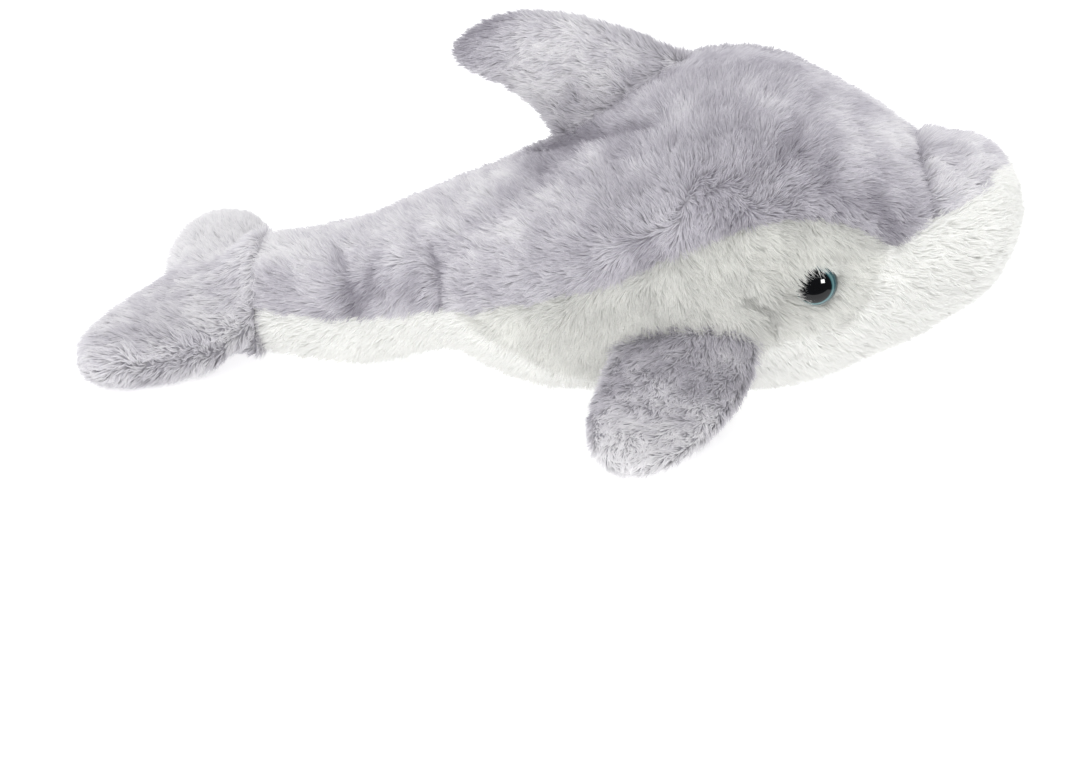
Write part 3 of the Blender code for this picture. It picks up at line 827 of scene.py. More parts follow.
# %% Let the stuffing swell the body
FLOOR_HOLD = 0.0040  # below this height the floor holds the cloth
BODY_MOVE = 0.0016

def held_on_body(point):
    """1 on a seam, 0 in the open, found from the nearest skin point's own place."""
    _, index, _ = skin_tree.find(point)
    row, column = body_owners[index]
    place = body_places[max(0, row - 1)]
    angle = skin_angles(place)[column]
    gap = min(seam_distance(place, side_angle(angle)), max(0.0, point.z - FLOOR_HOLD))
    gap = min(gap, abs(place - TAIL_END), abs(place - CREASE))
    return 1 - smooth_step(gap / (1.6 * CELL))

skin_tree = kdtree.KDTree(len(body_skin.data.vertices))
for vertex in body_skin.data.vertices:
    skin_tree.insert(vertex.co, vertex.index)
skin_tree.balance()
follow(body_skin, *puff("body puff", body_skin, held_on_body, BODY_MOVE))

# %% [markdown]
# ## Fin, flippers and fluke
#
# Each is two faces sewn round the rim, turned and lightly stuffed. The fin and flippers share one
# form: a root on the body, a middle and a tip, each with a front and a rear. The tip is rounded by
# a closing curve. The fluke has its own form, with two lobes behind the tail seam.

# %% The paddle form
FIN_ROOT = 0.0212
FIN_ROOT_HALF = 0.0228
FIN_ROOT_THICK = 0.0105
FIN_TIP_THICK = 0.0072
FIN_MIDDLE = ((0.0075, 0, 0.1187), (-0.0155, 0, 0.0928))
FIN_TIP = ((-0.0230, 0, 0.1210), (-0.0390, 0, 0.0930))
FLIPPER_ROOT = 0.0460
FLIPPER_ANGLE = 121
FLIPPER_ROOT_HALF = 0.0238
FLIPPER_ROOT_THICK = 0.0080
FLIPPER_TIP_THICK = 0.0068
FLIPPER_MIDDLE = ((0.0660, 0.0560, 0.0145), (0.0172, 0.0665, 0.0130))
FLIPPER_TIP = ((0.0540, 0.0955, 0.0030), (0.0110, 0.0925, 0.0030))
RIM_VALLEY = 0.0008
RIM_VALLEY_WIDTH = 0.0020


def paddle(root, middle_row, tip_row, thicks, side):
    """The form of a fin or flipper, as a function of reach, turn and inset."""
    root_place, root_angle, root_half = root
    root_thick, tip_thick = thicks

    def root_point(turn, inset):
        place = root_place + (root_half - inset) * cos(turn)
        angle = root_angle + side * (root_thick - inset) * sin(turn) / body_girth(root_place)
        return body_point(place, angle) - body_normal(place, angle) * PILE

    rows = [(root_point(0, 0), root_point(pi, 0))]
    rows += [[Vector(end) + ZERO for end in row] for row in (middle_row, tip_row)]
    length = (sum(rows[2], Vector()) / 2 - sum(rows[0], Vector()) / 2).length

    def edges(reach):
        shares = ((1 - reach) * (1 - 2 * reach), 4 * reach * (1 - reach), reach * (2 * reach - 1))
        front = sum((row[0] * share for row, share in zip(rows, shares)), Vector())
        rear = sum((row[1] * share for row, share in zip(rows, shares)), Vector())
        return (front + rear) / 2, (front - rear) / 2

    def free_point(reach, turn, inset):
        along = reach * (1 - inset / length)
        centre, chord = edges(along)
        heading = edges(along + 0.01)[0] - edges(along - 0.01)[0]
        thick = heading.cross(chord).normalized() * side
        closing = sqrt(max(0.0, 1 - reach**4))
        wide = chord.normalized() * (chord.length - inset) * closing
        high = thick * (blend(root_thick, tip_thick, reach) - inset) * closing
        return centre + wide * cos(turn) + high * sin(turn)

    def point(reach, turn, inset):
        made = free_point(reach, turn, inset)
        onto_body = root_point(turn, inset) - free_point(0, turn, inset)
        made += onto_body * (1 - reach) ** 2
        made.z = max(made.z, inset)
        return made

    return point


# %% [markdown]
# The rim seam is a valley too, so the skin sinks a little near the front and rear edges and the
# tip. The pile of a paddle lies from its root to its tip, turned a little by the hand that
# stroked it. Its tone is painted light and shade: darker along the rim seam, and lighter or darker
# from root to tip as the light falls on it.

# %% Skins of the fin and flippers
PADDLE_ROWS = 26
PADDLE_COLUMNS = 44
# The rim seam's groove is painted darker: painted shade.
RIM_SHADE = 0.25  # how much deeper the pile looks where the rim seam traps it
PADDLE_TURNS = [2 * pi * step / PADDLE_COLUMNS for step in range(PADDLE_COLUMNS)] + [0.0]
PADDLE_REACHES = [sin(pi / 2 * row / PADDLE_ROWS) for row in range(PADDLE_ROWS + 1)]


def paddle_rings(form, deeper):
    """Rings of points from root to tip, this much deeper than the skin."""

    def ring_point(reach, turn):
        rim = abs(sin(turn)) * 0.016 * sqrt(max(0.0, 1 - reach**4))
        inset = PADDLE_PILE + deeper + valley(rim, RIM_VALLEY, RIM_VALLEY_WIDTH)
        return form(max(reach, deeper / 0.05), turn, inset)

    rows = [[ring_point(reach, turn) for turn in PADDLE_TURNS] for reach in PADDLE_REACHES]
    hub = sum(rows[0][:-1], Vector()) / PADDLE_COLUMNS
    return [[hub] * (PADDLE_COLUMNS + 1)] + rows


def add_paddle_skin(name, form, lean, rise, tones):
    skin, owners = add_skin(name, paddle_rings(form, 0), None, (GREY_BACKING,))
    near, middle, tip = tones
    lies = []
    for row, column in owners:
        reach = min(0.97, PADDLE_REACHES[max(0, row - 1)])
        turn = PADDLE_TURNS[column]
        out = form(reach + 0.02, turn, 0) - form(reach, turn, 0)
        back = form(reach, pi, 0) - form(reach, 0, 0)
        comb = (out.normalized() + back.normalized() * lean).normalized()
        # The three tones paint light and shade along the paddle from root to tip.
        shade = blend(near, middle, smooth_step(reach * 2))
        shade = blend(shade, tip, smooth_step(reach * 2 - 1))
        shade -= RIM_SHADE * (1 - smooth_step(abs(sin(turn)) / 0.5))
        lies.append((comb, radians(rise), shade, 1.0))
    write_lie(skin, lies)
    print(name, "points", len(skin.data.vertices))
    return skin


# %% The fin and the flippers
fin_root = (FIN_ROOT, 0, FIN_ROOT_HALF)
fin_form = paddle(fin_root, FIN_MIDDLE, FIN_TIP, (FIN_ROOT_THICK, FIN_TIP_THICK), -1)
fin_skin = add_paddle_skin("fin_skin", fin_form, 0.15, 30, (0.4, 1.0, -1.4))
flipper_skins = {}
flipper_forms = {}
for side_name, sign in (("right", -1), ("left", 1)):
    flipper_root = (FLIPPER_ROOT, sign * FLIPPER_ANGLE, FLIPPER_ROOT_HALF)
    flipper_middle = [(x, sign * y, z) for x, y, z in FLIPPER_MIDDLE]
    flipper_tip = [(x, sign * y, z) for x, y, z in FLIPPER_TIP]
    flipper_thick = (FLIPPER_ROOT_THICK, FLIPPER_TIP_THICK)
    form = paddle(flipper_root, flipper_middle, flipper_tip, flipper_thick, -sign)
    flipper_forms[side_name] = form
    skin_name = f"flipper_{side_name}_skin"
    flipper_skins[side_name] = add_paddle_skin(skin_name, form, 0.1, 31, (0.2, 0.2, 2.0))

# %% [markdown]
# The fluke turns to the left behind the tail seam, its right lobe lies on the floor and its left
# lobe springs up. The tail's round end melts into the flat lobes: the height of the surface is a
# soft maximum of the two.

# %% The fluke's form
FLUKE_HALF_SPAN = 0.0545
FLUKE_SWEEP = 0.0200
FLUKE_NOTCH = 0.0365
FLUKE_DEPTH = 0.0500
FLUKE_LEFT_DEPTH = 0.0455
FLUKE_FULLNESS = 2.8
FLUKE_HALF_THICK = 0.0122
FLUKE_BLUNT = 0.65
FLUKE_ROOT_FADE = 0.0250
FLUKE_RIGHT_LEVEL = 0.0104
FLUKE_LEFT_LEVEL = 0.0255
FLUKE_LEVEL_REACH = 0.0420
FLUKE_SIDE_FALL = 1.6
FLUKE_TURN = radians(9)
FLUKE_TURN_LENGTH = 0.0200
FLUKE_ROOT_SHARE = 0.35


def fluke_spine(back):
    seam_centre, heading = spine(TAIL_END)
    first = -heading
    rate = FLUKE_TURN / FLUKE_TURN_LENGTH
    turned_back = min(back, FLUKE_TURN_LENGTH)
    last = first + rate * turned_back
    x = -(sin(last) - sin(first)) / rate - (back - turned_back) * cos(last)
    y = (cos(first) - cos(last)) / rate + (back - turned_back) * sin(last)
    return seam_centre + Vector((x, y, 0)) + ZERO, Vector((sin(last), cos(last), 0))


def fluke_point(share, turn, face, inset):
    root_half = half_width(TAIL_END) - inset
    root_top = back_height(TAIL_END)
    root_bottom = belly_height(TAIL_END)
    size = abs(share)
    lobe = max(0.0, (size - FLUKE_ROOT_SHARE) / (1 - FLUKE_ROOT_SHARE))
    lobe_span = FLUKE_HALF_SPAN - half_width(TAIL_END)
    if lobe > 0:
        out = root_half + lobe_span * lobe
    else:
        out = root_half * size / FLUKE_ROOT_SHARE
    closing = sqrt(max(0.0, 1 - lobe**3))
    front = FLUKE_SWEEP * lobe + inset * min(1.0, lobe * lobe_span / max(inset, SEAM))
    depth = FLUKE_DEPTH if share < 0 else FLUKE_LEFT_DEPTH
    rear = FLUKE_NOTCH + (depth - FLUKE_NOTCH) * (1 - (1 - size) ** FLUKE_FULLNESS) - inset
    middle = (front + rear) / 2
    back = middle - (middle - front) * closing * cos(turn)
    wing = (FLUKE_HALF_THICK - inset) * closing * max(0.0, sin(turn)) ** FLUKE_BLUNT
    bulge = 0.0
    if lobe == 0:
        ring = sqrt(max(0.0, 1 - (size / FLUKE_ROOT_SHARE) ** 2))
        fade = 1 - smooth_step(back / FLUKE_ROOT_FADE)
        bulge = ((root_top - root_bottom) / 2 - inset) * ring * fade
    rise = (wing**4 + bulge**4) ** 0.25
    side = out if share > 0 else -out
    leftness = smooth_step((side / FLUKE_NOTCH + 1) / 2)
    level = blend(FLUKE_RIGHT_LEVEL, FLUKE_LEFT_LEVEL, leftness)
    settled = smooth_step(hypot(back, side * FLUKE_SIDE_FALL) / FLUKE_LEVEL_REACH)
    height = blend((root_top + root_bottom) / 2, level, settled) + face * rise
    centre, left = fluke_spine(back + SEAM)
    made = centre + left * side
    made.z = max(height, inset)
    return made


# %% The fluke's skin
FLUKE_ROOT_ROWS = 10
FLUKE_LOBE_ROWS = 20
FLUKE_STEPS = 20
FLUKE_RISE = 32
# The fluke's pile is painted lighter towards the raised left lobe: painted sheen.
FLUKE_PAINTED_SHEEN = (0.8, 2.3)  # the left lobe shines, because its pile lies away from the eye


lobe_parts = [sin(pi / 2 * row / FLUKE_LOBE_ROWS) for row in range(FLUKE_LOBE_ROWS + 1)]
half_shares = [FLUKE_ROOT_SHARE * row / FLUKE_ROOT_ROWS for row in range(FLUKE_ROOT_ROWS)]
half_shares += [blend(FLUKE_ROOT_SHARE, 1, part) for part in lobe_parts]
FLUKE_SHARES = [-share for share in reversed(half_shares[1:])] + half_shares
FLUKE_TURNS = [pi * step / FLUKE_STEPS for step in range(FLUKE_STEPS + 1)]


def fluke_rings(deeper):
    """Rings of points from lobe to lobe, this much deeper than the skin."""

    def ring_point(share, turn, face):
        rim = abs(sin(turn)) * 0.016
        if abs(share) < FLUKE_ROOT_SHARE and turn < 0.3:
            rim = 0.016
        inset = PADDLE_PILE + deeper + valley(rim, RIM_VALLEY, RIM_VALLEY_WIDTH)
        return fluke_point(share * (1 - deeper / 0.025), turn, face, inset)

    rows = []
    for share in FLUKE_SHARES:
        over = [ring_point(share, turn, 1) for turn in FLUKE_TURNS]
        under = [ring_point(share, turn, -1) for turn in reversed(FLUKE_TURNS)]
        under[0] = over[-1]
        mouth = [over[0].lerp(under[-1], part) for part in (0.75, 0.5, 0.25, 0.0)]
        rows.append(over + under[1:] + mouth)
    return rows


fluke_skin, fluke_owners = add_skin("fluke_skin", fluke_rings(0), None, (GREY_BACKING,))
lies = []
for row, column in fluke_owners:
    share = FLUKE_SHARES[row]
    column = min(column, 2 * FLUKE_STEPS)
    face = 1 if column <= FLUKE_STEPS else -1
    turn = FLUKE_TURNS[column] if face == 1 else FLUKE_TURNS[2 * FLUKE_STEPS - column]
    turn = min(max(turn, 0.1), pi - 0.1)
    share = min(max(share, -0.96), 0.96)
    out = fluke_point(share + 0.02, turn, face, 0) - fluke_point(share - 0.02, turn, face, 0)
    back = fluke_point(share, turn + 0.05, face, 0) - fluke_point(share, turn - 0.05, face, 0)
    outward = out.normalized() * (share / (abs(share) + 0.2))
    comb = (outward * 0.9 + back.normalized() * 0.6).normalized()
    tone = blend(*FLUKE_PAINTED_SHEEN, smooth_step((share + 0.2) / 0.8))
    lies.append((comb, radians(FLUKE_RISE), tone, 1.0))
write_lie(fluke_skin, lies)
print("fluke skin points", len(fluke_skin.data.vertices))

# %% [markdown]
# ## Growing the pile
#
# Geometry Nodes plant the strands. Points are scattered over a panel, each takes its direction from
# the lie written on the skin, and a noise with cells of a few millimetres swings neighbouring
# strands together, which gives the small clumps that plush always has. Every strand is one bent
# sliver of four faces, so a quarter of a million of them stay light.

# %% One strand
strand_mesh = bpy.data.meshes.new("strand")
strand_points = [(-0.5, 0, 0), (0.5, 0, 0), (0, 0.9, 0.42), (0, -0.1, 1)]
strand_mesh.from_pydata(strand_points, [], [(0, 2, 1), (0, 3, 2), (1, 2, 3), (0, 1, 3)])
write_field(strand_mesh, "tipward", "FLOAT", [0.0, 0.0, 0.42, 1.0])
strand = put("strand", strand_mesh)

# %% Inputs of the planting tree, and the scattered points
PLANT = bpy.data.node_groups.new("plant strands", "GeometryNodeTree")
sockets = {"Geometry": "Geometry", "Strand": "Object", "Finish": "Material", "Seed": "Int"}
for size in ("Strands per square metre", "Length", "Width", "Clump", "Swing"):
    sockets[size] = "Float"
PLANT.interface.new_socket("Geometry", in_out="OUTPUT", socket_type="NodeSocketGeometry")
for socket_name, kind in sockets.items():
    PLANT.interface.new_socket(socket_name, in_out="INPUT", socket_type="NodeSocket" + kind)
given = add_node(PLANT, "NodeGroupInput").outputs
scatter = add_node(
    PLANT, "GeometryNodeDistributePointsOnFaces",
    {"Mesh": given["Geometry"], "Density": given["Strands per square metre"], "Seed": given["Seed"]},
)
normal = scatter.outputs["Normal"]

# %% [markdown]
# The rest of the tree is arithmetic on each point. A few short helpers keep it readable: a sum of
# numbers, a sum of vectors, a chance number of the strand's own, a value written on the skin, and a
# noise that drifts over the toy.

# %% Helpers for sums in the tree


def maths(operation, *values):
    return add_node(PLANT, "ShaderNodeMath", dict(enumerate(values)), operation=operation).outputs[0]


def vectors(operation, *values):
    inputs = dict(enumerate(values))
    if operation == "SCALE":
        inputs = {0: values[0], "Scale": values[1]}
    node = add_node(PLANT, "ShaderNodeVectorMath", inputs, operation=operation)
    return node.outputs["Value" if operation == "DOT_PRODUCT" else "Vector"]


def chance(low, high, seed):
    return add_node(PLANT, "FunctionNodeRandomValue", {2: low, 3: high, 8: seed}).outputs[1]


def written(name, kind="FLOAT"):
    node = add_node(PLANT, "GeometryNodeInputNamedAttribute", {"Name": name}, data_type=kind)
    return node.outputs["Attribute"]


def drift(share_of_clump, offset):
    """A noise about zero whose cells are the clump's size divided by the share."""
    where = add_node(PLANT, "GeometryNodeInputPosition").outputs[0]
    moved = vectors("ADD", where, (offset, offset, offset))
    scale = maths("MULTIPLY", maths("DIVIDE", 1.0, given["Clump"]), share_of_clump)
    cells = {"Vector": moved, "Scale": scale, "Detail": 1.0}
    return maths("SUBTRACT", add_node(PLANT, "ShaderNodeTexNoise", cells).outputs["Fac"], 0.5)


# %% Which way a strand points
wide_swing = maths("MULTIPLY", drift(0.4, 0.13), given["Swing"])
clump_swing = maths("MULTIPLY", drift(1.0, 0.47), given["Swing"])
swing = maths("ADD", maths("ADD", wide_swing, clump_swing), chance(-0.2, 0.2, 1))
comb = written("comb", "FLOAT_VECTOR")
out_of_skin = vectors("SCALE", normal, vectors("DOT_PRODUCT", comb, normal))
flat = vectors("NORMALIZE", vectors("SUBTRACT", comb, out_of_skin))
spin = {"Vector": flat, "Axis": normal, "Angle": swing}
turned = add_node(PLANT, "ShaderNodeVectorRotate", spin, rotation_type="AXIS_ANGLE").outputs[0]
lift = drift(1.0, 0.71)
rise = maths("ADD", written("rise"), maths("MULTIPLY", lift, 0.9))
rise = maths("ADD", rise, chance(-0.12, 0.12, 2))
upright = vectors("SCALE", normal, maths("SINE", rise))
heading = vectors("ADD", upright, vectors("SCALE", turned, maths("COSINE", rise)))
ALIGN = "FunctionNodeAlignRotationToVector"
aimed = add_node(PLANT, ALIGN, {"Vector": heading}, axis="Z").outputs["Rotation"]
faced = {"Rotation": aimed, "Vector": normal}
aimed = add_node(PLANT, ALIGN, faced, axis="Y", pivot_axis="Z").outputs["Rotation"]

# %% [markdown]
# A steep strand is cut shorter, because the finished toy is trimmed to one height. Each strand's
# tone comes from the painted light and shade written on the skin, from a slow drift over the cloth,
# from a painted shade on lifted clumps, and from its own chance.

# %% How large a strand is, and its tone
TRIM = 0.66  # the shears leave this share of the pile's length standing
FLATNESS = 0.22  # a strand's thickness as a share of its width
PAINTED_LIGHT_WEIGHT = 0.35
DRIFT_TONE = 0.9
LIFT_PAINTED_SHADE = 0.32
usual = maths("MULTIPLY", given["Length"], written("long"))
length = maths("MULTIPLY", usual, chance(0.78, 1.12, 3))
steep = maths("MAXIMUM", maths("SINE", rise), 0.3)
length = maths("MINIMUM", length, maths("DIVIDE", maths("MULTIPLY", usual, TRIM), steep))
width = maths("MULTIPLY", given["Width"], chance(0.7, 1.2, 4))
girths = {"X": width, "Y": maths("MULTIPLY", width, FLATNESS), "Z": length}
size = add_node(PLANT, "ShaderNodeCombineXYZ", girths).outputs[0]
tone = maths("ADD", 0.5, maths("MULTIPLY", written("shade"), PAINTED_LIGHT_WEIGHT))
tone = maths("ADD", tone, maths("MULTIPLY", drift(0.3, 0.91), DRIFT_TONE))
# Lifted clumps are painted darker: painted shade.
tone = maths("SUBTRACT", tone, maths("MULTIPLY", lift, LIFT_PAINTED_SHADE))
tone = maths("ADD", tone, chance(-0.2, 0.2, 5))
tone = maths("MINIMUM", maths("MAXIMUM", tone, 0.02), 0.98)

# %% Plant the strands and write their tone into their UV map


def store(name, geometry, value, kind, domain):
    stored = {"Geometry": geometry, "Name": name, "Value": value}
    node = add_node(PLANT, "GeometryNodeStoreNamedAttribute", stored, data_type=kind, domain=domain)
    return node.outputs["Geometry"]


marked = store("tone", scatter.outputs["Points"], tone, "FLOAT", "POINT")
one = add_node(PLANT, "GeometryNodeObjectInfo", {"Object": given["Strand"]}).outputs["Geometry"]
planting = {"Points": marked, "Instance": one, "Rotation": aimed, "Scale": size}
planted = add_node(PLANT, "GeometryNodeInstanceOnPoints", planting).outputs["Instances"]
real = add_node(PLANT, "GeometryNodeRealizeInstances", {"Geometry": planted}).outputs["Geometry"]
across = {"X": written("tone"), "Y": written("tipward")}
across = add_node(PLANT, "ShaderNodeCombineXYZ", across).outputs[0]
mapped = store("OFBake", real, across, "FLOAT2", "CORNER")
coloured = add_node(PLANT, "GeometryNodeSetMaterial", {"Geometry": mapped, "Material": given["Finish"]})
add_node(PLANT, "NodeGroupOutput", {"Geometry": coloured.outputs["Geometry"]})
print("planting tree nodes", len(PLANT.nodes))

# %% Grow pile on part of a skin
FLOOR_GAP = 0.0001  # the floor presses the pile flat
PER_SQUARE_MM = 1e6
CLUMP = 0.0028  # strands swing together in cells of this size
SWING = 2.3


def cut_field(skin, keep):
    """A copy of the skin's faces for which keep(face) is true, with the lie still on it."""
    mesh = skin.data.copy()
    working = bmesh.new()
    working.from_mesh(mesh)
    gone = [face for face in working.faces if not keep(face)]
    bmesh.ops.delete(working, geom=gone, context="FACES")
    working.to_mesh(mesh)
    working.free()
    return mesh


def grow(name, skin, keep, pile_kind, density, length, width, seed):
    """Plants strands on part of a skin as one plain mesh, so many to a square millimetre."""
    finish, slot = pile_kind
    bed = put(name + "_bed", cut_field(skin, keep))
    planting = bed.modifiers.new("planting", "NODES")
    planting.node_group = PLANT
    wanted = {
        "Strand": strand, "Finish": finish, "Strands per square metre": density * PER_SQUARE_MM,
        "Length": length, "Width": width, "Clump": CLUMP, "Swing": SWING, "Seed": seed,
    }
    for socket in PLANT.interface.items_tree:
        if socket.in_out == "INPUT" and socket.name in wanted:
            planting[socket.identifier] = wanted[socket.name]
    mesh = plain_mesh(bed)
    mesh.name = name
    bpy.data.objects.remove(bed, do_unlink=True)
    places = np.empty(len(mesh.vertices) * 3, np.float32)
    mesh.vertices.foreach_get("co", places)
    places[2::3] = np.maximum(places[2::3], FLOOR_GAP)
    mesh.vertices.foreach_set("co", places)
    pile = put(name, mesh)
    # Light passes through a real pile, so the strands cast none of the shadow on the floor.
    pile.visible_shadow = False
    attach(pile, "root")
    print(name, "strands", len(mesh.polygons) // 4)


# %% [markdown]
# Each panel gets its own pile, denser on the side that the photograph shows. No pile grows under the
# eyes, behind the tail seam, or on the strip of the belly that the floor presses flat.

# %% Where each panel's pile grows
TAIL_FACE = -0.8  # a face that looks back more than this closes the tail
STRIP_HEIGHT = 0.0045  # the belly lies on a strip of this height and half width
STRIP_HALF = 0.0140
eye_middles = [body_point(EYE_PLACE, sign * EYE_ANGLE, PILE) for sign in (-1, 1)]


def in_panel(name):
    """A test for the faces of a panel that aren't under an eye or behind the tail seam."""
    number = PANELS.index(name)

    def keep(face):
        middle = face.calc_center_median()
        clear = min((middle - eye).length for eye in eye_middles) > EYE_RADIUS - 0.0006
        return clear and face.normal.x > TAIL_FACE and face.material_index == number

    return keep


def open_belly(face):
    """All of the belly but its end behind the tail seam and the strip that it lies on."""
    middle = face.calc_center_median()
    hidden = face.normal.x < TAIL_FACE or (middle.z < STRIP_HEIGHT and abs(middle.y) < STRIP_HALF)
    return face.material_index == PANELS.index("belly") and not hidden


def whole_skin(face):
    return True


# %% Grow the pile
GREY = (GREY_PILE, "grey_pile")
OFF_WHITE = (OFF_WHITE_PILE, "off_white_pile")
WHITE = (WHITE_PILE, "white_pile")
PADDLE_LENGTH = 0.0045
PADDLE_WIDTH = 0.00072
for name, pile_kind, density, length, width, seed in (
    ("back_right", GREY, 4.0, 0.0055, 0.00075, 11), ("back_left", GREY, 2.3, 0.0055, 0.00100, 12),
    ("beak_top", GREY, 4.4, 0.0050, 0.00075, 16), ("flank_right", OFF_WHITE, 4.4, 0.0055, 0.00070, 13),
    ("flank_left", OFF_WHITE, 2.8, 0.0055, 0.00090, 14), ("belly", WHITE, 2.2, 0.0052, 0.00110, 21),
):
    keep = open_belly if name == "belly" else in_panel(name)
    grow("pile_" + name, body_skin, keep, pile_kind, density, length, width, seed)
for name, skin, density, seed in (
    ("dorsal_fin", fin_skin, 4.2, 31), ("flipper_right", flipper_skins["right"], 4.2, 32),
    ("flipper_left", flipper_skins["left"], 2.3, 33), ("fluke", fluke_skin, 3.2, 34),
):
    grow("pile_" + name, skin, whole_skin, GREY, density, PADDLE_LENGTH, PADDLE_WIDTH, seed)

# %% [markdown]
# ## The eyes
#
# A safety eye is moulded in one: a clear dome with a dark pupil and a painted teal ring behind it,
# on a ribbed shank that goes through the fabric into a washer. The dome is turned from a profile,
# with a UV map whose first number is the distance from the pupil's middle.

# %% The eye's sizes and its painted rings
EYE_DOME = 0.0050
EYE_FLANGE = 0.0010
EYE_SEAT = -0.0042
SHANK_RADIUS = 0.0022
SHANK_LENGTH = 0.0085
EYE_STEPS = 64
DOME_STEPS = 18
PUPIL_SHIFT = (-0.0016, 0.0, 0.0008)  # the clear dome bends the pupil towards the tail and up
RINGS_REACH = 1.3  # the rings' UV map counts from the pupil's middle to this many dome radii


def eye_finish():
    finish, tree, shader = new_finish(
        "moulded eye plastic", 0.06, Coat_Weight=1.0, Coat_Roughness=0.02, Specular_IOR_Level=0.1,
    )
    rings = add_node(tree, "ShaderNodeUVMap", uv_map="rings").outputs["UV"]
    out = add_node(tree, "ShaderNodeSeparateXYZ", {"Vector": rings}).outputs["X"]
    bands = (
        (0.0, "#050507"), (0.58, "#07080b"), (0.60, "#12363b"), (0.63, "#557a7d"), (0.68, "#6b8d90"),
        (0.72, "#2f545a"), (0.79, "#1b4248"), (0.92, "#0b252b"),
    )
    painted = add_ramp(tree, out, [(place, linear(code)) for place, code in bands])
    tree.links.new(painted, shader.inputs["Base Color"])
    return finish


EYE_PLASTIC = eye_finish()

# %% Turn an eye


def add_eye(name, sign):
    angle = sign * EYE_ANGLE
    middle = body_point(EYE_PLACE, angle)
    axis = body_normal(EYE_PLACE, angle)
    spin = axis.to_track_quat("Z", "Y").to_matrix()
    profile = [(0.0, EYE_SEAT - SHANK_LENGTH), (SHANK_RADIUS, EYE_SEAT - SHANK_LENGTH)]
    profile += [(SHANK_RADIUS, EYE_SEAT), (EYE_RADIUS, EYE_SEAT)]
    for step in range(DOME_STEPS):
        turn = pi / 2 * step / DOME_STEPS
        height = EYE_SEAT + EYE_FLANGE + EYE_DOME * sin(turn)
        profile.append((EYE_RADIUS * cos(turn), height))
    profile.append((0.0, EYE_SEAT + EYE_FLANGE + EYE_DOME))
    rows = []
    for radius, height in profile:
        row = []
        for step in range(EYE_STEPS + 1):
            turn = 2 * pi * (step % EYE_STEPS) / EYE_STEPS
            local = Vector((radius * cos(turn), radius * sin(turn), height))
            row.append(middle + spin @ local)
        rows.append(row)
    eye, owners = add_skin(name, rows, None, (EYE_PLASTIC,))
    rings = eye.data.uv_layers.new(name="rings")
    shift = (spin.transposed() @ Vector(PUPIL_SHIFT)).to_2d()
    for loop in eye.data.loops:
        local = spin.transposed() @ (eye.data.vertices[loop.vertex_index].co - middle)
        painted = (local.to_2d() - shift).length / EYE_RADIUS / RINGS_REACH
        rings.data[loop.index].uv = (painted, local.z / EYE_RADIUS)
    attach(eye, "root")
    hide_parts(name.replace("safety_", ""))
    return eye


for side_name, sign in (("right", -1), ("left", 1)):
    add_eye(f"safety_eye_{side_name}", sign)

# %% [markdown]
# ## Everything rides on the toy
#
# The skins stand for the solid panels. Each is a stuffed piece.

# %% Riding and replacing
bpy.data.objects.remove(strand, do_unlink=True)
for skin, slot, nodes in (
    (body_skin, "grey_pile", PANELS), (fin_skin, "grey_pile", ("dorsal_fin_right", "dorsal_fin_left")),
    (flipper_skins["right"], "grey_pile", ("flipper_right_upper", "flipper_right_lower")),
    (flipper_skins["left"], "grey_pile", ("flipper_left_upper", "flipper_left_lower")),
    (fluke_skin, "grey_pile", ("fluke_upper", "fluke_lower")),
):
    for field in LIE:
        skin.data.attributes.remove(skin.data.attributes[field])
    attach(skin, "root")
    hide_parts(*nodes)

# %% [markdown]
# The filling and the lock washers are closed in. Where the skin dips into a fold the filling gives
# way, so each filling is made again just inside its skin, in the finish of loose white fibre. The
# washers keep their solids and get the finish of plain moulded plastic.

# %% Hidden pieces


def every_other(things):
    """Every other thing of a list, with its last: a filling needs fewer points than a skin."""
    return things[:-1:2] + things[-1:]


wool = ((0.0, linear("#dcdcd8")), (1.0, linear("#f6f6f3")))
haze = ((0.0, linear("#dedede")), (1.0, linear("#ececea")))
FIBRE = mottled("polyester fibre filling", 1.0, 220.0, 4.0, wool)[0]
WASHER = mottled("moulded polythene washer", 0.45, 400.0, 2.0, haze)[0]
print("hidden finishes:", FIBRE.name, "and", WASHER.name)
for name, node in frame["nodes"].items():
    if "washer" in name:
        for slot in node.material_slots:
            slot.material = WASHER
fillings = {
    "body_stuffing": body_rings(CORE_GAP), "dorsal_fin_stuffing": paddle_rings(fin_form, CORE_GAP),
    "flipper_right_stuffing": paddle_rings(flipper_forms["right"], CORE_GAP),
    "flipper_left_stuffing": paddle_rings(flipper_forms["left"], CORE_GAP),
    "fluke_stuffing": fluke_rings(CORE_GAP),
}
for node, rows in fillings.items():
    coarse = every_other([every_other(row) for row in rows])
    filling, _ = add_skin(node.replace("stuffing", "fibre"), coarse, None, (FIBRE,))
    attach(filling, "root")
    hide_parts(node)

# %% [markdown]
# ## Floor, light and camera
#
# The photograph was taken on a white acrylic sweep that is lit from below, so the floor burns out
# to white, hardly a shadow is left, and the belly gets as much light as the back. A small square
# light near the camera gives the eye its spark, and a card on the floor mirrors in the lower half of
# the pupil: both only show in glossy things.

# %% Floor
FLOOR_HALF = 4.0
floor_mesh = bpy.data.meshes.new("floor")
floor_corners = [(-1, -1), (1, -1), (1, 1), (-1, 1)]
floor_mesh.from_pydata([(x * FLOOR_HALF, y * FLOOR_HALF, 0) for x, y in floor_corners], [], [(0, 1, 2, 3)])
floor = put("floor", floor_mesh)
sweep, _, sweep_shader = new_finish("lit white acrylic", 0.9, Specular_IOR_Level=0.0)
sweep_shader.inputs["Base Color"].default_value = linear("#f0f0f0")
sweep_shader.inputs["Emission Color"].default_value = linear("#ffffff")
sweep_shader.inputs["Emission Strength"].default_value = 0.55
floor.visible_glossy = False
floor_mesh.materials.append(sweep)

# %% Lights


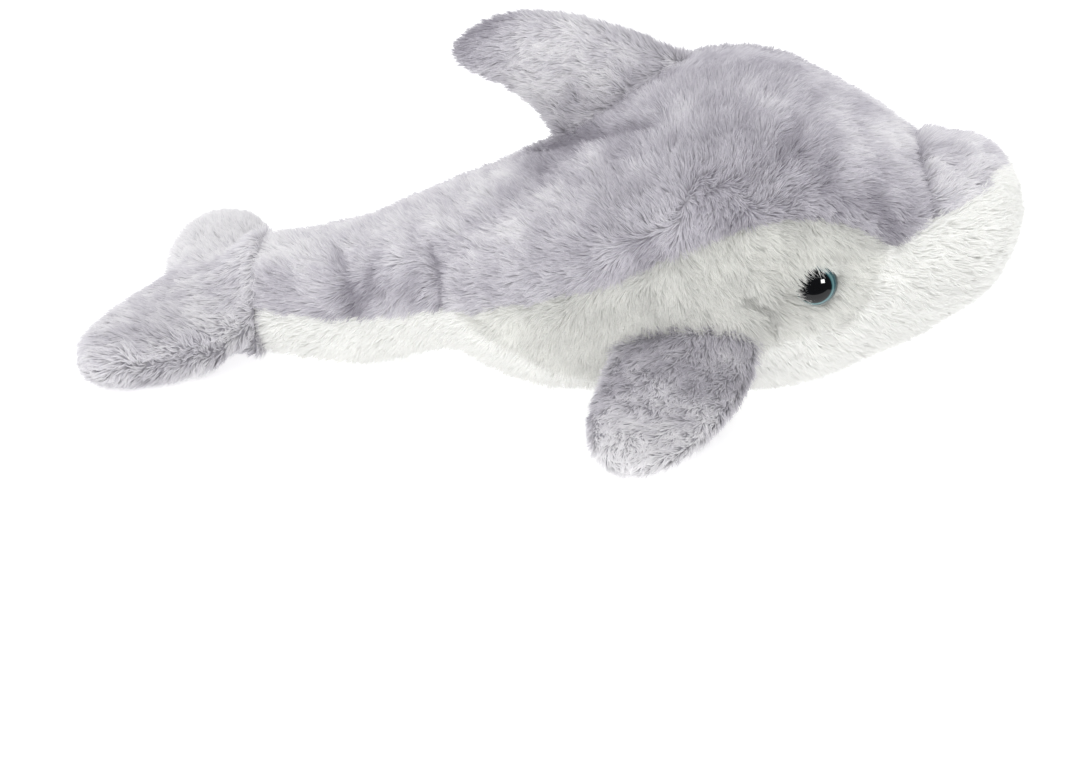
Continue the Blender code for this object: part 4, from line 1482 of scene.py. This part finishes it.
def add_softbox(name, place, aim, size, power):
    """A square of light that lights the toy but doesn't show in its eye."""
    lamp = bpy.data.lights.new(name, "AREA")
    lamp.size = size
    lamp.energy = power
    box = put(name, lamp)
    box.location = place
    box.rotation_euler = (Vector(aim) - Vector(place)).to_track_quat("-Z", "Y").to_euler()
    box.visible_glossy = False
    return box


add_softbox("top_softbox", (-0.35, 0.35, 1.30), (0, 0, 0.03), 1.5, 10.0)
add_softbox("front_fill", (0.10, -1.40, 0.90), (0.0, 0, 0.05), 1.4, 10.0)
spark = add_softbox("spark", (0.95, -1.00, 0.28), (0.085, -0.05, 0.05), 0.36, 10.0)
low_card = add_softbox("low_card", (0.120, -0.030, 0.002), (0.120, -0.030, 1.0), 0.12, 0.036)
for only_shine in (spark, low_card):
    only_shine.visible_glossy = True
    only_shine.visible_diffuse = False

world = bpy.data.worlds.new("white studio")
bpy.context.scene.world = world
world.use_nodes = True
sky = world.node_tree
sky.nodes.clear()
ray = add_node(sky, "ShaderNodeLightPath").outputs
white, soft, dark = (
    add_node(sky, "ShaderNodeBackground", {"Color": colour, "Strength": strength}).outputs[0]
    for colour, strength in (((1, 1, 1, 1), 1.0), ((0.98, 0.99, 1, 1), 0.52), ((0.9, 0.95, 1, 1), 0.10))
)
lit = add_node(sky, "ShaderNodeMixShader", {0: ray["Is Glossy Ray"], 1: soft, 2: dark}).outputs[0]
both = add_node(sky, "ShaderNodeMixShader", {0: ray["Is Camera Ray"], 1: lit, 2: white})
add_node(sky, "ShaderNodeOutputWorld", {"Surface": both.outputs[0]})

# %% [markdown]
# The camera was worked out from the toy's own outline: it stands 0.9 m away, 7 degrees round from
# the toy's right side and 21 degrees up.

# %% Camera
PHOTO_WIDTH = 1080
SENSOR = 36.0
AZIMUTH = radians(7.0)
ELEVATION = radians(21.0)
DISTANCE = 0.900
METRES_PER_PIXEL = 0.000326
MIDDLE_RIGHT = -0.004238  # the picture's middle, right of and above the pattern's zero
MIDDLE_UP = -0.005379
right = Vector((cos(AZIMUTH), sin(AZIMUTH), 0))
forward = Vector((-sin(AZIMUTH) * cos(ELEVATION), cos(AZIMUTH) * cos(ELEVATION), -sin(ELEVATION)))
up = right.cross(forward)
aim = ZERO + right * MIDDLE_RIGHT + up * MIDDLE_UP
lens = bpy.data.cameras.new("camera")
lens.sensor_width = SENSOR
lens.lens = SENSOR * DISTANCE / (PHOTO_WIDTH * METRES_PER_PIXEL)
camera = put("camera", lens)
turned = Matrix((right, up, -forward)).transposed().to_4x4()
camera.matrix_world = Matrix.Translation(aim - forward * DISTANCE) @ turned
bpy.context.scene.camera = camera
bpy.context.scene.view_settings.view_transform = "Standard"
print("lens", round(lens.lens, 2), "mm")

# %% Bring the scene up to date
bpy.context.view_layer.update()
